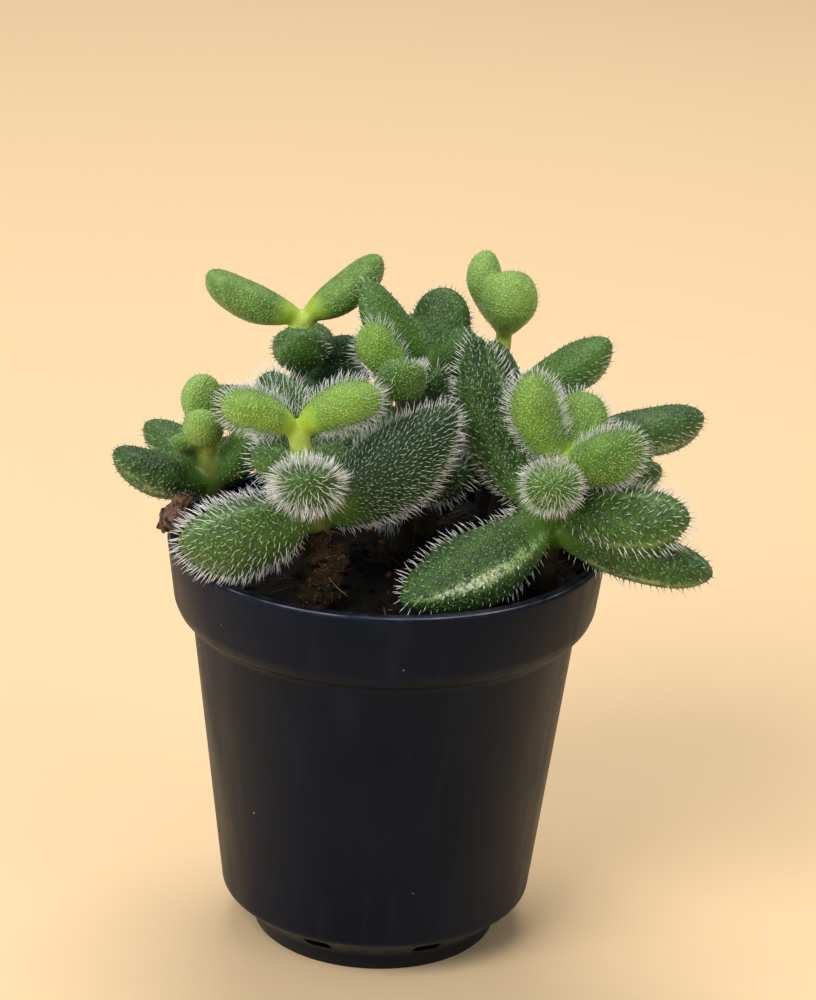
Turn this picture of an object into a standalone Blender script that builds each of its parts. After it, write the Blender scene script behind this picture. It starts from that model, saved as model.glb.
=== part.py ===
"""A potted ice plant: fat, spiny leaves on short stems, in a small black plastic nursery pot.

Metres, +Z up. The origin is the middle of the pot's flat base. -Y is the front and +X the right.
The tables below are in millimetres and degrees, and MM turns them into metres.
"""
import math
import random

import bmesh
import bpy
from mathutils import Matrix, Vector
from mathutils.bvhtree import BVHTree
from mathutils.kdtree import KDTree

MM = 0.001
GAP = 0.3                # between neighbouring pieces
SEED = 21

# Pot: radius and height of its outer edges
RIM_RADIUS = 28.5
POT_HEIGHT = 55.0
BAND_LOW = (27.5, 46.6)  # lower edge of the plain band under the rim
SHOULDER = (25.1, 43.9)  # corner where the shoulder meets the body
BODY_LOW = (20.5, 5.8)   # lower edge of the tapered body
FOOT_TOP = (16.8, 2.5)
FOOT_RADIUS = 16.1
WALL = 0.95
FLOOR = 1.2
LIP_WIDTH = 1.7
POT_STEPS = 44
DRAIN_HOLES = 8
DRAIN_HOLE = (6.0, 3.6, 1.7)  # through the wall, along it and upwards

# Soil
SOIL_TOP = 51.6
SOIL_STEPS = 20
SOIL_LUMPS = 16
# Lumps of the clump that leans over the left rim, and of those at the two front stems, as
# (middle), radius
CLUMPS = [((-22.9, -4, 53.2), 2.4), ((-24.2, -3.6, 55.6), 2.2), ((-26.8, -4, 57.6), 2.3),
          ((-28.2, -3.7, 57), 1.8), ((-26.4, -4.2, 59.8), 1.7), ((-24, -0.4, 55.2), 1.9),
          ((-8.4, -16.3, 52.4), 2.3), ((-7.4, -16.2, 54.8), 1.9), ((-6.6, -15.9, 56.8), 1.6),
          ((-6, -15.6, 58.4), 1.2), ((17, -5.4, 52.6), 2.8), ((17.6, -4.6, 54.8), 2.0)]
STEM_FOOT = 42.0         # the stems end this high, inside the soil

# Leaf: shape shared by all of them
LEAF_SIDES = 8
LEAF_RINGS = 6
TOP_FLAT = 0.68          # upper half-thickness over the half-width
UNDER_ROUND = 0.92       # lower half-thickness over the half-width
BASE_BREADTH = 0.8       # breadth towards the root, against 1.16 towards the tip
BOW = 0.05               # how far the middle sags under the chord, over the length

# Spines
SPINE_OUT = 1.75
SPINE_SUNK = 0.9
SPINE_ROOT = 0.27
SPINE_CLEAR = 0.5        # a spine that comes this near to another node is left out
SPINES_LEAST = 4
SPINES_PER_AREA = 0.088    # added for each square millimetre of length times width
SPINE_LEAN = 0.45        # towards the leaf's tip
GOLDEN_TURN = math.radians(137.5)

# Leafy stems: the stem's points (x, y, z), its radius low and high, then its leaves as
# (height of the leaf's root on the stem, heading, pitch, length, width), and its own bow if
# it bends more than the others.
# A heading of 0 points to +X, 90 to the back; a pitch of 90 points straight up.
# "young" lists the pale leaves that are joined at the stem's top.
SHOOTS = {
    "front_left": {
        "path": [(-7.5, -12.5, STEM_FOOT), (-8, -13, 52), (-9, -13.5, 61), (-10.3, -13.8, 68),
                 (-11.7, -14, 74)],
        "radius": (2.0, 1.4),
        "leaves": [(64, -163, -14, 17.6, 11.6), (62.4, 20, 34.5, 22.4, 11),
                   (67.6, -88, 19, 14.5, 7.4), (67.2, 115, 37, 16.6, 8.0),
                   (68.4, 162, 12, 7.4, 5.4), (69, 52, 6, 7.4, 5.0)],
        "young": [(74, -166, 22, 10.2, 6.0, -0.07), (74, 11, 23, 11.2, 6.5, -0.07)],
        "join": 71.7},
    "front_right": {
        "path": [(18.6, -6.6, STEM_FOOT), (20, -7, 52), (20, -7.3, 58), (20.8, -7.8, 63),
                 (21.5, -8, 68.8)],
        "radius": (2.1, 1.8),
        "leaves": [(61, -140, -14, 24.8, 11.0), (59.6, -16, -8.5, 22, 8.0, 0),
                   (63.8, -24, 1, 18.2, 9.2), (61.5, 132, 52, 25.2, 8.8, 0.13),
                   (63, 178, -42, 9, 6.6)],
        "young": [(68.4, 166, 69, 12.2, 7.2), (68.3, -25, 26, 11.6, 8.0),
                  (68.2, 66, 38, 11.2, 7.4), (67.8, -99, 8, 12.3, 6.6)],
        "join": 65.9},
    "right": {
        "path": [(19.4, 6.8, STEM_FOOT), (22.4, 6.6, 52), (25, 5, 62), (25.8, 4.4, 68.8)],
        "radius": (1.8, 1.4),
        "leaves": [(68.3, 15, 6, 15.6, 8.0), (67.6, -20, -16, 9.2, 5.4), (67.9, 150, 20, 7.4, 5.0),
                   (60.6, 70, 8, 13, 6.8), (61.2, 32, 0, 13, 6.6)]},
    "back_right": {
        "path": [(13.6, 9.2, STEM_FOOT), (14.2, 9.4, 52), (16.3, 9.8, 64), (17, 10, 72.6)],
        "radius": (1.7, 1.4),
        "leaves": [(72.2, 20, 25, 13.4, 7.6), (72.1, 185, 55, 8, 5.0), (60, 68, 4, 12.5, 6.4),
                   (62.3, 186, 9, 8.6, 6.4)]},
    "back_centre": {
        "path": [(12.2, 16.4, STEM_FOOT), (12.8, 18, 52), (13.8, 18.4, 66), (14.5, 18.2, 77.4)],
        "radius": (1.4, 1.1),
        "leaves": [(66, 165, 25, 10, 5.6), (68.4, 8, 20, 11, 5.6), (59, 80, 6, 14, 6.8)],
        "young": [(77, 172, 74, 11.6, 6.6), (76.6, -80, 70, 10.4, 8.4)],
        "join": 75.2},
    "rear_middle": {
        "path": [(5.2, 11.2, STEM_FOOT), (5, 11, 52), (5.2, 10.6, 64), (5, 10.4, 74.2)],
        "radius": (1.6, 1.3),
        "leaves": [(73.8, 172, 52, 15, 7.0), (73.8, 76, 58, 11.6, 8.4), (73.8, -14, 48, 8.0, 6.2),
                   (64, 62, 12, 7.5, 5.0), (64.4, 140, 12, 9, 6.0)]},
    "centre": {
        "path": [(2, 4, STEM_FOOT), (2, 3.6, 52), (1.6, 3, 62), (1.8, 2.6, 70), (1.6, 2.4, 76.2)],
        "radius": (1.8, 1.4),
        "leaves": [(67, 5, 67, 11, 4.4),
                   (65, 200, 14, 12, 7.2), (63.2, -44, 12, 12, 7.4), (60, -118, 4, 10, 6.4)],
        "young": [(76, 196, 52, 8.8, 6.4), (75.6, -94, 22, 13.4, 6.2)],
        "join": 73.8},
    "back_left": {
        "path": [(-10.4, 15, STEM_FOOT), (-11, 15.5, 52), (-12, 15.6, 66), (-12.2, 15.4, 79.4)],
        "radius": (1.9, 1.6),
        "leaves": [(74.4, -92, 27, 10.8, 7.2), (73, 88, 4, 12.4, 7.6), (66, 172, 4, 14.5, 7.6),
                   (73.4, 14, 12, 8.2, 6.2), (70.2, -10, 10, 9.2, 7.0), (59.4, 108, 6, 14, 7.2),
                   (62, -60, 8, 9, 6)],
        "young": [(79.2, 178, 22, 13.8, 6.4), (79.2, 16, 36.5, 13.0, 6.2)],
        "join": 77.3},
    "left": {
        "path": [(-19.4, 2.6, STEM_FOOT), (-21.4, 3, 52), (-22.8, 3, 60), (-24, 3, 66.6)],
        "radius": (1.8, 1.5),
        "leaves": [(59.6, -167, 22, 14.3, 7.0), (60.3, 10, 56, 10.5, 6.8), (63.4, 140, 10, 11.6, 6.2),
                   (60.2, 74, 15, 10.5, 6.6)],
        "young": [(66.4, 120, 80, 8.2, 5.4), (66.2, -92, 40, 8.6, 5.2), (66.4, -150, 0, 5, 3.0)],
        "join": 64.9},
    "rear_left": {
        "path": [(-0.8, 18.8, STEM_FOOT), (-1, 20, 52), (-1.4, 20.3, 62), (-1.2, 20.6, 69.5)],
        "radius": (1.7, 1.4),
        "leaves": [(69.3, 68, 28, 12.5, 6.8), (69.3, 292, 40, 8, 5.6), (62.5, 158, 8, 9.5, 6.6),
                   (59.6, 92, 6, 12.5, 7.0)]},
}

COLOURS = {              # base colour, roughness
    "pot_plastic": ((0.028, 0.031, 0.038), 0.45),
    "potting_soil": ((0.035, 0.022, 0.014), 0.95),
    "leaf_green": ((0.075, 0.185, 0.045), 0.55),
    "leaf_young": ((0.22, 0.40, 0.07), 0.5),
}


def clear_scene():
    for obj in list(bpy.data.objects):
        bpy.data.objects.remove(obj, do_unlink=True)


def new_collection(name):
    collection = bpy.data.collections.new(name)
    bpy.context.scene.collection.children.link(collection)
    return collection


def new_material(name):
    colour, roughness = COLOURS[name]
    material = bpy.data.materials.new(name)
    material.use_nodes = True
    shader = material.node_tree.nodes["Principled BSDF"]
    shader.inputs["Base Color"].default_value = (*colour, 1)
    shader.inputs["Roughness"].default_value = roughness
    shader.inputs["Metallic"].default_value = 0
    material.diffuse_color = (*colour, 1)
    return material


def new_object(name, mesh, collection, material=None):
    obj = bpy.data.objects.new(name, mesh)
    collection.objects.link(obj)
    if material:
        mesh.materials.append(material)
    return obj


def smooth(mesh, angle=40):
    mesh.shade_smooth()
    mesh.set_sharp_from_angle(angle=math.radians(angle))


def evaluated_mesh(obj):
    """A new mesh of the object with its modifiers applied."""
    bpy.context.view_layer.update()
    depsgraph = bpy.context.evaluated_depsgraph_get()
    return bpy.data.meshes.new_from_object(obj.evaluated_get(depsgraph))


def apply_modifiers(obj):
    """Applies the modifiers and keeps the largest body, so that sealed hollows are filled."""
    mesh = evaluated_mesh(obj)
    obj.modifiers.clear()
    body = bmesh.new()
    body.from_mesh(mesh)
    unseen, largest = set(body.faces), []
    while unseen:
        island = [unseen.pop()]
        for face in island:
            for edge in face.edges:
                for other in edge.link_faces:
                    if other in unseen:
                        unseen.remove(other)
                        island.append(other)
        largest = max(largest, island, key=len)
    kept = set(largest)
    bmesh.ops.delete(body, geom=[face for face in body.faces if face not in kept], context="FACES")
    body.to_mesh(mesh)
    body.free()
    obj.data = mesh


def turned(name, profile, steps, collection, material):
    """A solid turned round Z, from its half-section (radius, height) in millimetres."""
    mesh = bpy.data.meshes.new(name)
    section = bmesh.new()
    points = [section.verts.new((r * MM, 0, z * MM)) for r, z in profile]
    for one, two in zip(points, points[1:]):
        section.edges.new((one, two))
    section.to_mesh(mesh)
    section.free()
    obj = new_object(name, mesh, collection, material)
    screw = obj.modifiers.new("turn", "SCREW")
    screw.angle = math.tau
    screw.steps = screw.render_steps = steps
    screw.use_merge_vertices = True
    screw.merge_threshold = 0.00001
    screw.use_smooth_shade = True
    return obj


def pot_inside(offset):
    """The half-section of the pot's inside from its floor up, moved inwards by an offset."""
    return [(0, FLOOR + offset),
            (FOOT_RADIUS - WALL - offset, FLOOR + offset),
            (FOOT_TOP[0] - WALL - offset, FOOT_TOP[1] + WALL + offset),
            (BODY_LOW[0] - WALL - offset, BODY_LOW[1] + 0.7 + offset),
            (SHOULDER[0] - WALL - offset, SHOULDER[1] + 0.5 + offset),
            (BAND_LOW[0] - WALL - offset, BAND_LOW[1] + 0.5 + offset)]


def build_pot(collection):
    profile = pot_inside(0) + [
        (RIM_RADIUS - WALL - 0.15, POT_HEIGHT - 1.9),
        (RIM_RADIUS - LIP_WIDTH, POT_HEIGHT - 1.2),
        (RIM_RADIUS - LIP_WIDTH, POT_HEIGHT - 0.3),
        (RIM_RADIUS - LIP_WIDTH + 0.3, POT_HEIGHT),
        (RIM_RADIUS - 0.15, POT_HEIGHT),
        (RIM_RADIUS, POT_HEIGHT - 0.15),
        BAND_LOW,
        (BAND_LOW[0] - 0.6, BAND_LOW[1] - 1.4),
        SHOULDER, BODY_LOW, FOOT_TOP,
        (FOOT_RADIUS, 0.2), (FOOT_RADIUS - 0.2, 0), (0, 0)]
    return turned("pot", profile, POT_STEPS, collection, new_material("pot_plastic"))


def cut_drain_holes(pot, cutters):
    """A ring of holes through the step above the foot."""
    middle = Vector(((BODY_LOW[0] + FOOT_TOP[0]) / 2, 0, (BODY_LOW[1] + FOOT_TOP[1]) / 2)) * MM
    for i in range(DRAIN_HOLES):
        bpy.ops.mesh.primitive_cube_add(size=1, scale=[s * MM for s in DRAIN_HOLE])
        cutter = bpy.context.object
        bpy.ops.object.transform_apply(location=False, rotation=False, scale=True)
        cutter.name = f"drain_cutter_{i}"
        turn = Matrix.Rotation((i + 0.5) * math.tau / DRAIN_HOLES, 4, "Z")
        cutter.matrix_world = turn @ Matrix.Translation(middle)
        move_to(cutter, cutters)
    add_boolean(pot, "drain_holes", "DIFFERENCE", cutters)


def add_boolean(obj, name, operation, collection):
    boolean = obj.modifiers.new(name, "BOOLEAN")
    boolean.operation = operation
    boolean.operand_type = "COLLECTION"
    boolean.collection = collection
    boolean.solver = "EXACT"


def move_to(obj, collection):
    for old in list(obj.users_collection):
        old.objects.unlink(obj)
    collection.objects.link(obj)
    obj.hide_render = True
    obj.display_type = "WIRE"


def soil_height(x, y):
    """Height of the soil's top, lower at the front where it has sunk."""
    waves = 0.5 * math.sin(0.31 * x + 1.1) * math.cos(0.27 * y) + 0.35 * math.sin(0.6 * y + 0.23 * x)
    return SOIL_TOP + waves - 1.4 * max(0, -y - 6) / 20


def build_soil(collection):
    profile = pot_inside(GAP) + [(RIM_RADIUS - LIP_WIDTH - 0.45, SOIL_TOP - 1.6),
                                 (RIM_RADIUS - LIP_WIDTH - 1.2, SOIL_TOP)]
    profile += [(r, SOIL_TOP) for r in (21, 15, 8, 0)]
    soil = turned("soil", profile, SOIL_STEPS, collection, None)
    apply_modifiers(soil)
    soil.data.materials.append(new_material("potting_soil"))
    for vertex in soil.data.vertices:
        if vertex.co.z > (SOIL_TOP - 0.5) * MM:
            vertex.co.z = soil_height(vertex.co.x / MM, vertex.co.y / MM) * MM
    return soil


def tube(name, path, radii, collection):
    """A closed tube along a path, from one radius to the other, as a mesh object."""
    root = Vector(path[0])
    curve = bpy.data.curves.new(name, "CURVE")
    curve.dimensions = "3D"
    curve.bevel_depth = MM
    curve.bevel_resolution = 1
    curve.use_fill_caps = True
    spline = curve.splines.new("POLY")
    spline.points.add(len(path) - 1)
    rise = path[-1][2] - path[0][2]
    for point, place in zip(spline.points, path):
        point.co = (*((Vector(place) - root) * MM), 1)
        share = (place[2] - path[0][2]) / rise
        point.radius = radii[0] + (radii[1] - radii[0]) * share
    guide = bpy.data.objects.new(name, curve)
    collection.objects.link(guide)
    guide.location = root * MM
    mesh = evaluated_mesh(guide)
    shell = bmesh.new()
    shell.from_mesh(mesh)
    bmesh.ops.remove_doubles(shell, verts=shell.verts, dist=0.00001)
    shell.to_mesh(mesh)
    shell.free()
    matrix = guide.matrix_world.copy()
    bpy.data.objects.remove(guide, do_unlink=True)
    obj = new_object(name, mesh, collection)
    obj.matrix_world = matrix
    return obj


def point_at(path, height):
    """The point of a stem's path at a height."""
    for low, high in zip(path, path[1:]):
        if height <= high[2]:
            break
    share = (height - low[2]) / (high[2] - low[2])
    return Vector(low).lerp(Vector(high), share)


def radius_at(shoot, height):
    low, high = shoot["radius"]
    path = shoot["path"]
    return low + (high - low) * (height - path[0][2]) / (path[-1][2] - path[0][2])


def skin(leaf, along, around):
    """A point of a leaf's skin in millimetres: +X runs to the tip, +Z is the flatter upper side."""
    length, width = leaf[3:5]
    bow = leaf[5] if len(leaf) > 5 else BOW
    round_ends = 2 * math.sqrt(max(0.0, along * (1 - along)))
    half = round_ends * (BASE_BREADTH + (1.16 - BASE_BREADTH) * along) * width / 2
    up = math.cos(around)
    up *= half * (TOP_FLAT if up > 0 else UNDER_ROUND)
    sag = 4 * bow * length * along * (1 - along)
    return Vector((along * length, -math.sin(around) * half, up - sag))


def leaf_matrix(shoot, leaf):
    height, heading, pitch = leaf[:3]
    root = point_at(shoot["path"], height) * MM
    turn = Matrix.Rotation(math.radians(heading), 4, "Z")
    return Matrix.Translation(root) @ turn @ Matrix.Rotation(math.radians(-pitch), 4, "Y")


def add_leaf(name, shoot, leaf, collection):
    body = bmesh.new()
    bmesh.ops.create_uvsphere(body, u_segments=LEAF_SIDES, v_segments=LEAF_RINGS, radius=1)
    for vertex in body.verts:
        along = (1 + vertex.co.z) / 2
        vertex.co = skin(leaf, along, math.atan2(vertex.co.y, vertex.co.x)) * MM
    mesh = bpy.data.meshes.new(name)
    body.to_mesh(mesh)
    body.free()
    obj = new_object(name, mesh, collection)
    obj.matrix_world = leaf_matrix(shoot, leaf)
    return obj


def spine_mesh():
    """A slim three-sided spike of unit length, its root at the origin."""
    spike = bmesh.new()
    bmesh.ops.create_cone(spike, cap_ends=True, segments=3, radius1=SPINE_ROOT * MM,
                          radius2=0, depth=MM)
    bmesh.ops.translate(spike, verts=spike.verts, vec=(0, 0, MM / 2))
    bmesh.ops.remove_doubles(spike, verts=spike.verts, dist=0.000001)
    mesh = bpy.data.meshes.new("spine")
    spike.to_mesh(mesh)
    spike.free()
    return mesh


def spine_places(leaf, draw):
    """Root and direction of each spine of a leaf, in the leaf's frame, spread evenly by a spiral."""
    count = round(SPINES_LEAST + SPINES_PER_AREA * leaf[3] * leaf[4])
    step = 0.01
    for i in range(count):
        along = 0.26 + 0.735 * (i + 0.5) / count
        around = i * GOLDEN_TURN + draw.uniform(-0.15, 0.15)
        forward = skin(leaf, min(along + step, 1), around) - skin(leaf, along - step, around)
        sideways = skin(leaf, along, around + step) - skin(leaf, along, around - step)
        normal = sideways.cross(forward).normalized()
        root = skin(leaf, along, around)
        middle = skin(leaf, along, 0).lerp(skin(leaf, along, math.pi), 0.5)
        if normal.dot(root - middle) < 0:
            normal.negate()
        direction = (normal + Vector((SPINE_LEAN * draw.uniform(0.6, 1.4), 0, 0))).normalized()
        yield root, direction, draw.uniform(0.88, 1.08)


def add_spines(name, shoot, leaf, mesh, collection, others, own_points, draw):
    place = leaf_matrix(shoot, leaf)
    for root, direction, size in spine_places(leaf, draw):
        out = SPINE_OUT * size * (1 if leaf[3] > 8 else 0.75)
        points = [place @ ((root + direction * out * share) * MM) for share in (0.1, 0.4, 0.7, 1)]
        if not all(is_clear(point, others) for point in points):
            continue
        own_points.extend(points)
        spine = new_object(f"{name}_spine", mesh, collection)
        upright = Vector((0, 0, 1)).rotation_difference(direction).to_matrix().to_4x4()
        stretch = Matrix.Diagonal((1, 1, out + SPINE_SUNK, 1))
        sunk = Matrix.Translation((root - direction * SPINE_SUNK) * MM)
        spine.matrix_world = place @ sunk @ upright @ stretch


def is_clear(point, others, reach=SPINE_CLEAR * MM):
    """True where no other node's body or spine comes near the point."""
    for tree in others["bodies"]:
        if tree.find_nearest(point, reach)[0] is not None:
            return False
    return all(tree.find(point)[2] > reach for tree in others["spines"])


def body_tree(objects):
    """One search tree of several objects' faces, in world coordinates."""
    points, faces = [], []
    for obj in objects:
        mesh = evaluated_mesh(obj)
        first = len(points)
        points += [obj.matrix_world @ vertex.co for vertex in mesh.vertices]
        faces += [[first + i for i in face.vertices] for face in mesh.polygons]
        bpy.data.meshes.remove(mesh)
    return BVHTree.FromPolygons(points, faces)


def point_tree(points):
    tree = KDTree(len(points))
    for i, point in enumerate(points):
        tree.insert(point, i)
    tree.balance()
    return tree


def plan_nodes():
    """Each plant node as (name, shoot, stem path, stem radii, leaves, material)."""
    nodes = []
    for name, shoot in SHOOTS.items():
        path, top = shoot["path"], shoot["path"][-1][2]
        join = shoot.get("join", top)
        low = [p for p in path if p[2] < join] + [tuple(point_at(path, join))]
        radii = (shoot["radius"][0], radius_at(shoot, join))
        nodes.append((f"stem_{name}", shoot, low, radii, shoot["leaves"], "leaf_green"))
        if "young" in shoot:
            start = tuple(point_at(path, join + GAP))
            radii = (radius_at(shoot, join + GAP), shoot["radius"][1])
            nodes.append((f"tip_{name}", shoot, [start, path[-1]], radii, shoot["young"], "leaf_young"))
    return nodes


def fuse(stem, repeats, material):
    """Joins everything in the collection to the stem and keeps the one solid."""
    add_boolean(stem, "fuse", "UNION", repeats)
    apply_modifiers(stem)
    stem.data.materials.clear()
    stem.data.materials.append(material)
    smooth(stem.data)
    for obj in list(repeats.objects):
        bpy.data.objects.remove(obj, do_unlink=True)
    bpy.data.collections.remove(repeats)


def build_plant(collection, fixed):
    """Every leafy stem and young tip, as one solid each."""
    draw = random.Random(SEED)
    materials = {slot: new_material(slot) for slot in ("leaf_green", "leaf_young")}
    spike = spine_mesh()
    nodes, trees = plan_nodes(), []
    parts = []
    for name, shoot, path, radii, leaves, slot in nodes:
        repeats = new_collection(f"{name}_repeats")
        stem = tube(name, path, radii, collection)
        for i, leaf in enumerate(leaves):
            add_leaf(f"{name}_leaf_{i}", shoot, leaf, repeats)
        bpy.context.view_layer.update()
        trees.append(body_tree([stem, *repeats.objects]))
        parts.append((stem, repeats))
    spine_trees = []
    for i, (name, shoot, path, radii, leaves, slot) in enumerate(nodes):
        stem, repeats = parts[i]
        others = {"bodies": fixed + trees[:i] + trees[i + 1:], "spines": spine_trees}
        points = []
        for leaf in leaves:
            add_spines(name, shoot, leaf, spike, repeats, others, points, draw)
        if points:
            spine_trees.append(point_tree(points))
        fuse(stem, repeats, materials[slot])
    return {"bodies": trees, "spines": spine_trees}


def add_lump(lumps, place, radius, squash=0.8, turn=0.0):
    lump = bmesh.new()
    bmesh.ops.create_icosphere(lump, subdivisions=1, radius=radius * MM)
    bmesh.ops.scale(lump, verts=lump.verts, vec=(1, 1, squash))
    bmesh.ops.rotate(lump, verts=lump.verts, matrix=Matrix.Rotation(turn, 3, "X"))
    mesh = bpy.data.meshes.new("lump")
    lump.to_mesh(mesh)
    lump.free()
    obj = new_object("lump", mesh, lumps)
    obj.location = Vector(place) * MM
    obj.hide_render = True
    obj.display_type = "WIRE"


def place_lumps(lumps, plant, soil_tree):
    """Lumps spread over the soil, none of them under a low leaf, and the larger clumps."""
    draw = random.Random(SEED + 1)
    placed = 0
    while placed < SOIL_LUMPS:
        distance = 22.8 * math.sqrt(draw.random())
        heading = draw.uniform(0, math.tau)
        radius = draw.uniform(1.1, 2.1)
        x, y = distance * math.cos(heading), distance * math.sin(heading)
        place = soil_tree.ray_cast(Vector((x, y, 99)) * MM, Vector((0, 0, -1)))[0]
        if not is_clear(place, plant, (radius + 0.8) * MM):
            continue
        add_lump(lumps, place / MM, radius, turn=draw.uniform(0, 3))
        placed += 1
    for place, radius in CLUMPS:
        add_lump(lumps, place, radius, squash=0.95, turn=0.4)


def stem_cutters(cutters):
    """The plain holes that the stems stand in."""
    for name, shoot in SHOOTS.items():
        path = shoot["path"]
        foot = (path[0][0], path[0][1], path[0][2] - GAP)
        wide = [radius + GAP for radius in shoot["radius"]]
        tube(f"hole_{name}", [foot, *path[1:]], wide, cutters)
    for obj in cutters.objects:
        obj.hide_render = True
        obj.display_type = "WIRE"


def main():
    clear_scene()
    part = new_collection("potted_ice_plant")
    pot = build_pot(part)
    soil = build_soil(part)
    fixed = [body_tree([pot]), body_tree([soil])]
    plant = build_plant(part, fixed)
    lumps = new_collection("soil_lumps")
    place_lumps(lumps, plant, fixed[1])
    holes = new_collection("stem_hole_cutters")
    stem_cutters(holes)
    add_boolean(soil, "lumps", "UNION", lumps)
    add_boolean(soil, "stem_holes", "DIFFERENCE", holes)
    apply_modifiers(soil)
    drains = new_collection("drain_cutters")
    cut_drain_holes(pot, drains)
    for obj in (pot, soil):
        obj.data.shade_smooth()


main()
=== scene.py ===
# %% [markdown]
# # A potted ice plant, dressed round its CAD frame
# The object is a small succulent with fat, bristly leaves, in a black nursery pot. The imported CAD
# model gives every stem, leaf, the soil and the pot a fixed place, in metres. This lesson puts a
# finely shaped piece in each of those places and gives it a material made of shader nodes.

# %% Load the frame
import math
import random

import bmesh
import bpy
import numpy as np
from mathutils import Matrix, Vector, noise
from mathutils.bvhtree import BVHTree


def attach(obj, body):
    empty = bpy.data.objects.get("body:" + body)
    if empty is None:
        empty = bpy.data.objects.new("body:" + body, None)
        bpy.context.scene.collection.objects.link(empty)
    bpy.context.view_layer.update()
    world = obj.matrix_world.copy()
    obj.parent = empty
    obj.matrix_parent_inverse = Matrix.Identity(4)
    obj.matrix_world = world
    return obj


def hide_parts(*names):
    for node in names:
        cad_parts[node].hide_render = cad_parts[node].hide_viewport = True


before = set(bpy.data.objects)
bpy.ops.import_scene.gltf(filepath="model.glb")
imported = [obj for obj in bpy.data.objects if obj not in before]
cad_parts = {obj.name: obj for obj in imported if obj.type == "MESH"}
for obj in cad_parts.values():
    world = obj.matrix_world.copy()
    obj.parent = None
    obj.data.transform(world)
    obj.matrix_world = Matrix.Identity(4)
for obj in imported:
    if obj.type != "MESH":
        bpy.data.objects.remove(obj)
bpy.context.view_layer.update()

MM = 0.001
SEED = 21

# %% [markdown]
# ## Camera
# The photograph looks slightly down on the pot from close by, with a long lens. The camera
# stands at that distance and tilt. It rolls two degrees, because the picture leans that much.
# A camera can be aimed with a constraint, but a matrix made of its three axes also holds the roll.

# %% Camera
DISTANCE = 0.4275
TILT = math.radians(21.24)
ROLL = math.radians(2.13)
SIGHT = Vector((0, 0, 0.055))     # the point of the object that the lens is aimed near
AIM = (0.00266, 0.00440)          # how far the picture's middle lies right of it and above it


def camera_matrix():
    stand = SIGHT + DISTANCE * Vector((0, -math.cos(TILT), math.sin(TILT)))
    forward = (SIGHT - stand).normalized()
    right = Vector((1, 0, 0))
    up = right.cross(forward)
    turn = math.cos(ROLL), math.sin(ROLL)
    right, up = right * turn[0] + up * turn[1], up * turn[0] - right * turn[1]
    forward = (SIGHT + right * AIM[0] + up * AIM[1] - stand).normalized()
    right = forward.cross(up).normalized()
    matrix = Matrix((right, right.cross(forward), -forward)).transposed().to_4x4()
    matrix.translation = stand
    return matrix


lens = bpy.data.cameras.new("lens")
lens.sensor_fit = "VERTICAL"
lens.sensor_height = 36
lens.lens = 118.7
lens.clip_start = 0.01
camera = bpy.data.objects.new("camera", lens)
camera.matrix_world = camera_matrix()
bpy.context.scene.collection.objects.link(camera)
bpy.context.scene.camera = camera
print("camera stands at", [round(c, 3) for c in camera.matrix_world.translation])

# %% [markdown]
# ## Node helpers
# A material is a small tree of nodes. Wiring every node by hand takes many lines, so what comes
# out of a node is wrapped as a Value: adding or multiplying two of them makes the Math node for
# it. Helpers add any node, mix two colours, turn a range of values into another and make noise.

# %% Node helpers
class Value:
    """What comes out of a node. Sums and products of values are Math nodes in its tree."""

    def __init__(self, socket):
        self.socket, self.tree = socket, socket.id_data

    def __add__(self, other):
        return sums("ADD", self, other)

    def __mul__(self, other):
        return sums("MULTIPLY", self, other)

    def __rsub__(self, other):
        return sums("SUBTRACT", other, self)

    def clamped(self):
        self.socket.node.use_clamp = True
        return self


def values_of(node):
    return {key: Value(socket) for i, socket in enumerate(node.outputs) for key in (i, socket.name)}


def add(tree, kind, inputs=None, **settings):
    """A new shader node's values. An input gets a wire from a Value, and is set otherwise."""
    made = tree.nodes.new("ShaderNode" + kind)
    for key, value in settings.items():
        setattr(made, key, value)
    for key, value in (inputs or {}).items():
        if isinstance(value, Value):
            tree.links.new(value.socket, made.inputs[key])
        else:
            made.inputs[key].default_value = value
    return values_of(made)


def sums(operation, one, two):
    tree = (one if isinstance(one, Value) else two).tree
    return add(tree, "Math", {0: one, 1: two}, operation=operation)[0]


def mix(share, one, two, blend="MIX"):
    tree = next(part.tree for part in (share, one, two) if isinstance(part, Value))
    return add(tree, "Mix", {0: share, 6: one, 7: two}, data_type="RGBA", blend_type=blend)[2]


def remap(value, low, high, to_low=0.0, to_high=1.0):
    inputs = {"Value": value, "From Min": low, "From Max": high, "To Min": to_low, "To Max": to_high}
    return add(value.tree, "MapRange", inputs, interpolation_type="SMOOTHSTEP")[0]


def sized_noise(place, size, detail=2.0, roughness=0.5):
    """Soft noise whose blotches are about size millimetres across."""
    inputs = {"Vector": place, "Scale": 1 / (size * MM), "Detail": detail, "Roughness": roughness}
    return add(place.tree, "TexNoise", inputs)["Fac"]


def new_material(name, shader_values):
    """A material and its Principled shader, with the values that are the same all over."""
    material = bpy.data.materials.new(name)
    material.use_nodes = True
    shader = material.node_tree.nodes["Principled BSDF"]
    for key, value in shader_values.items():
        shader.inputs[key].default_value = value
    return material, shader


def wire(shader, colour, roughness=None, height=None, relief=0.1, strength=1.0):
    """Wires colour, roughness and a bump of relief millimetres into a shader."""
    tree = shader.id_data
    if height:
        height = add(tree, "Bump", {"Height": height, "Distance": relief * MM, "Strength": strength})[0]
    for key, value in (("Base Color", colour), ("Roughness", roughness), ("Normal", height)):
        if value:
            tree.links.new(value.socket, shader.inputs[key])


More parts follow.
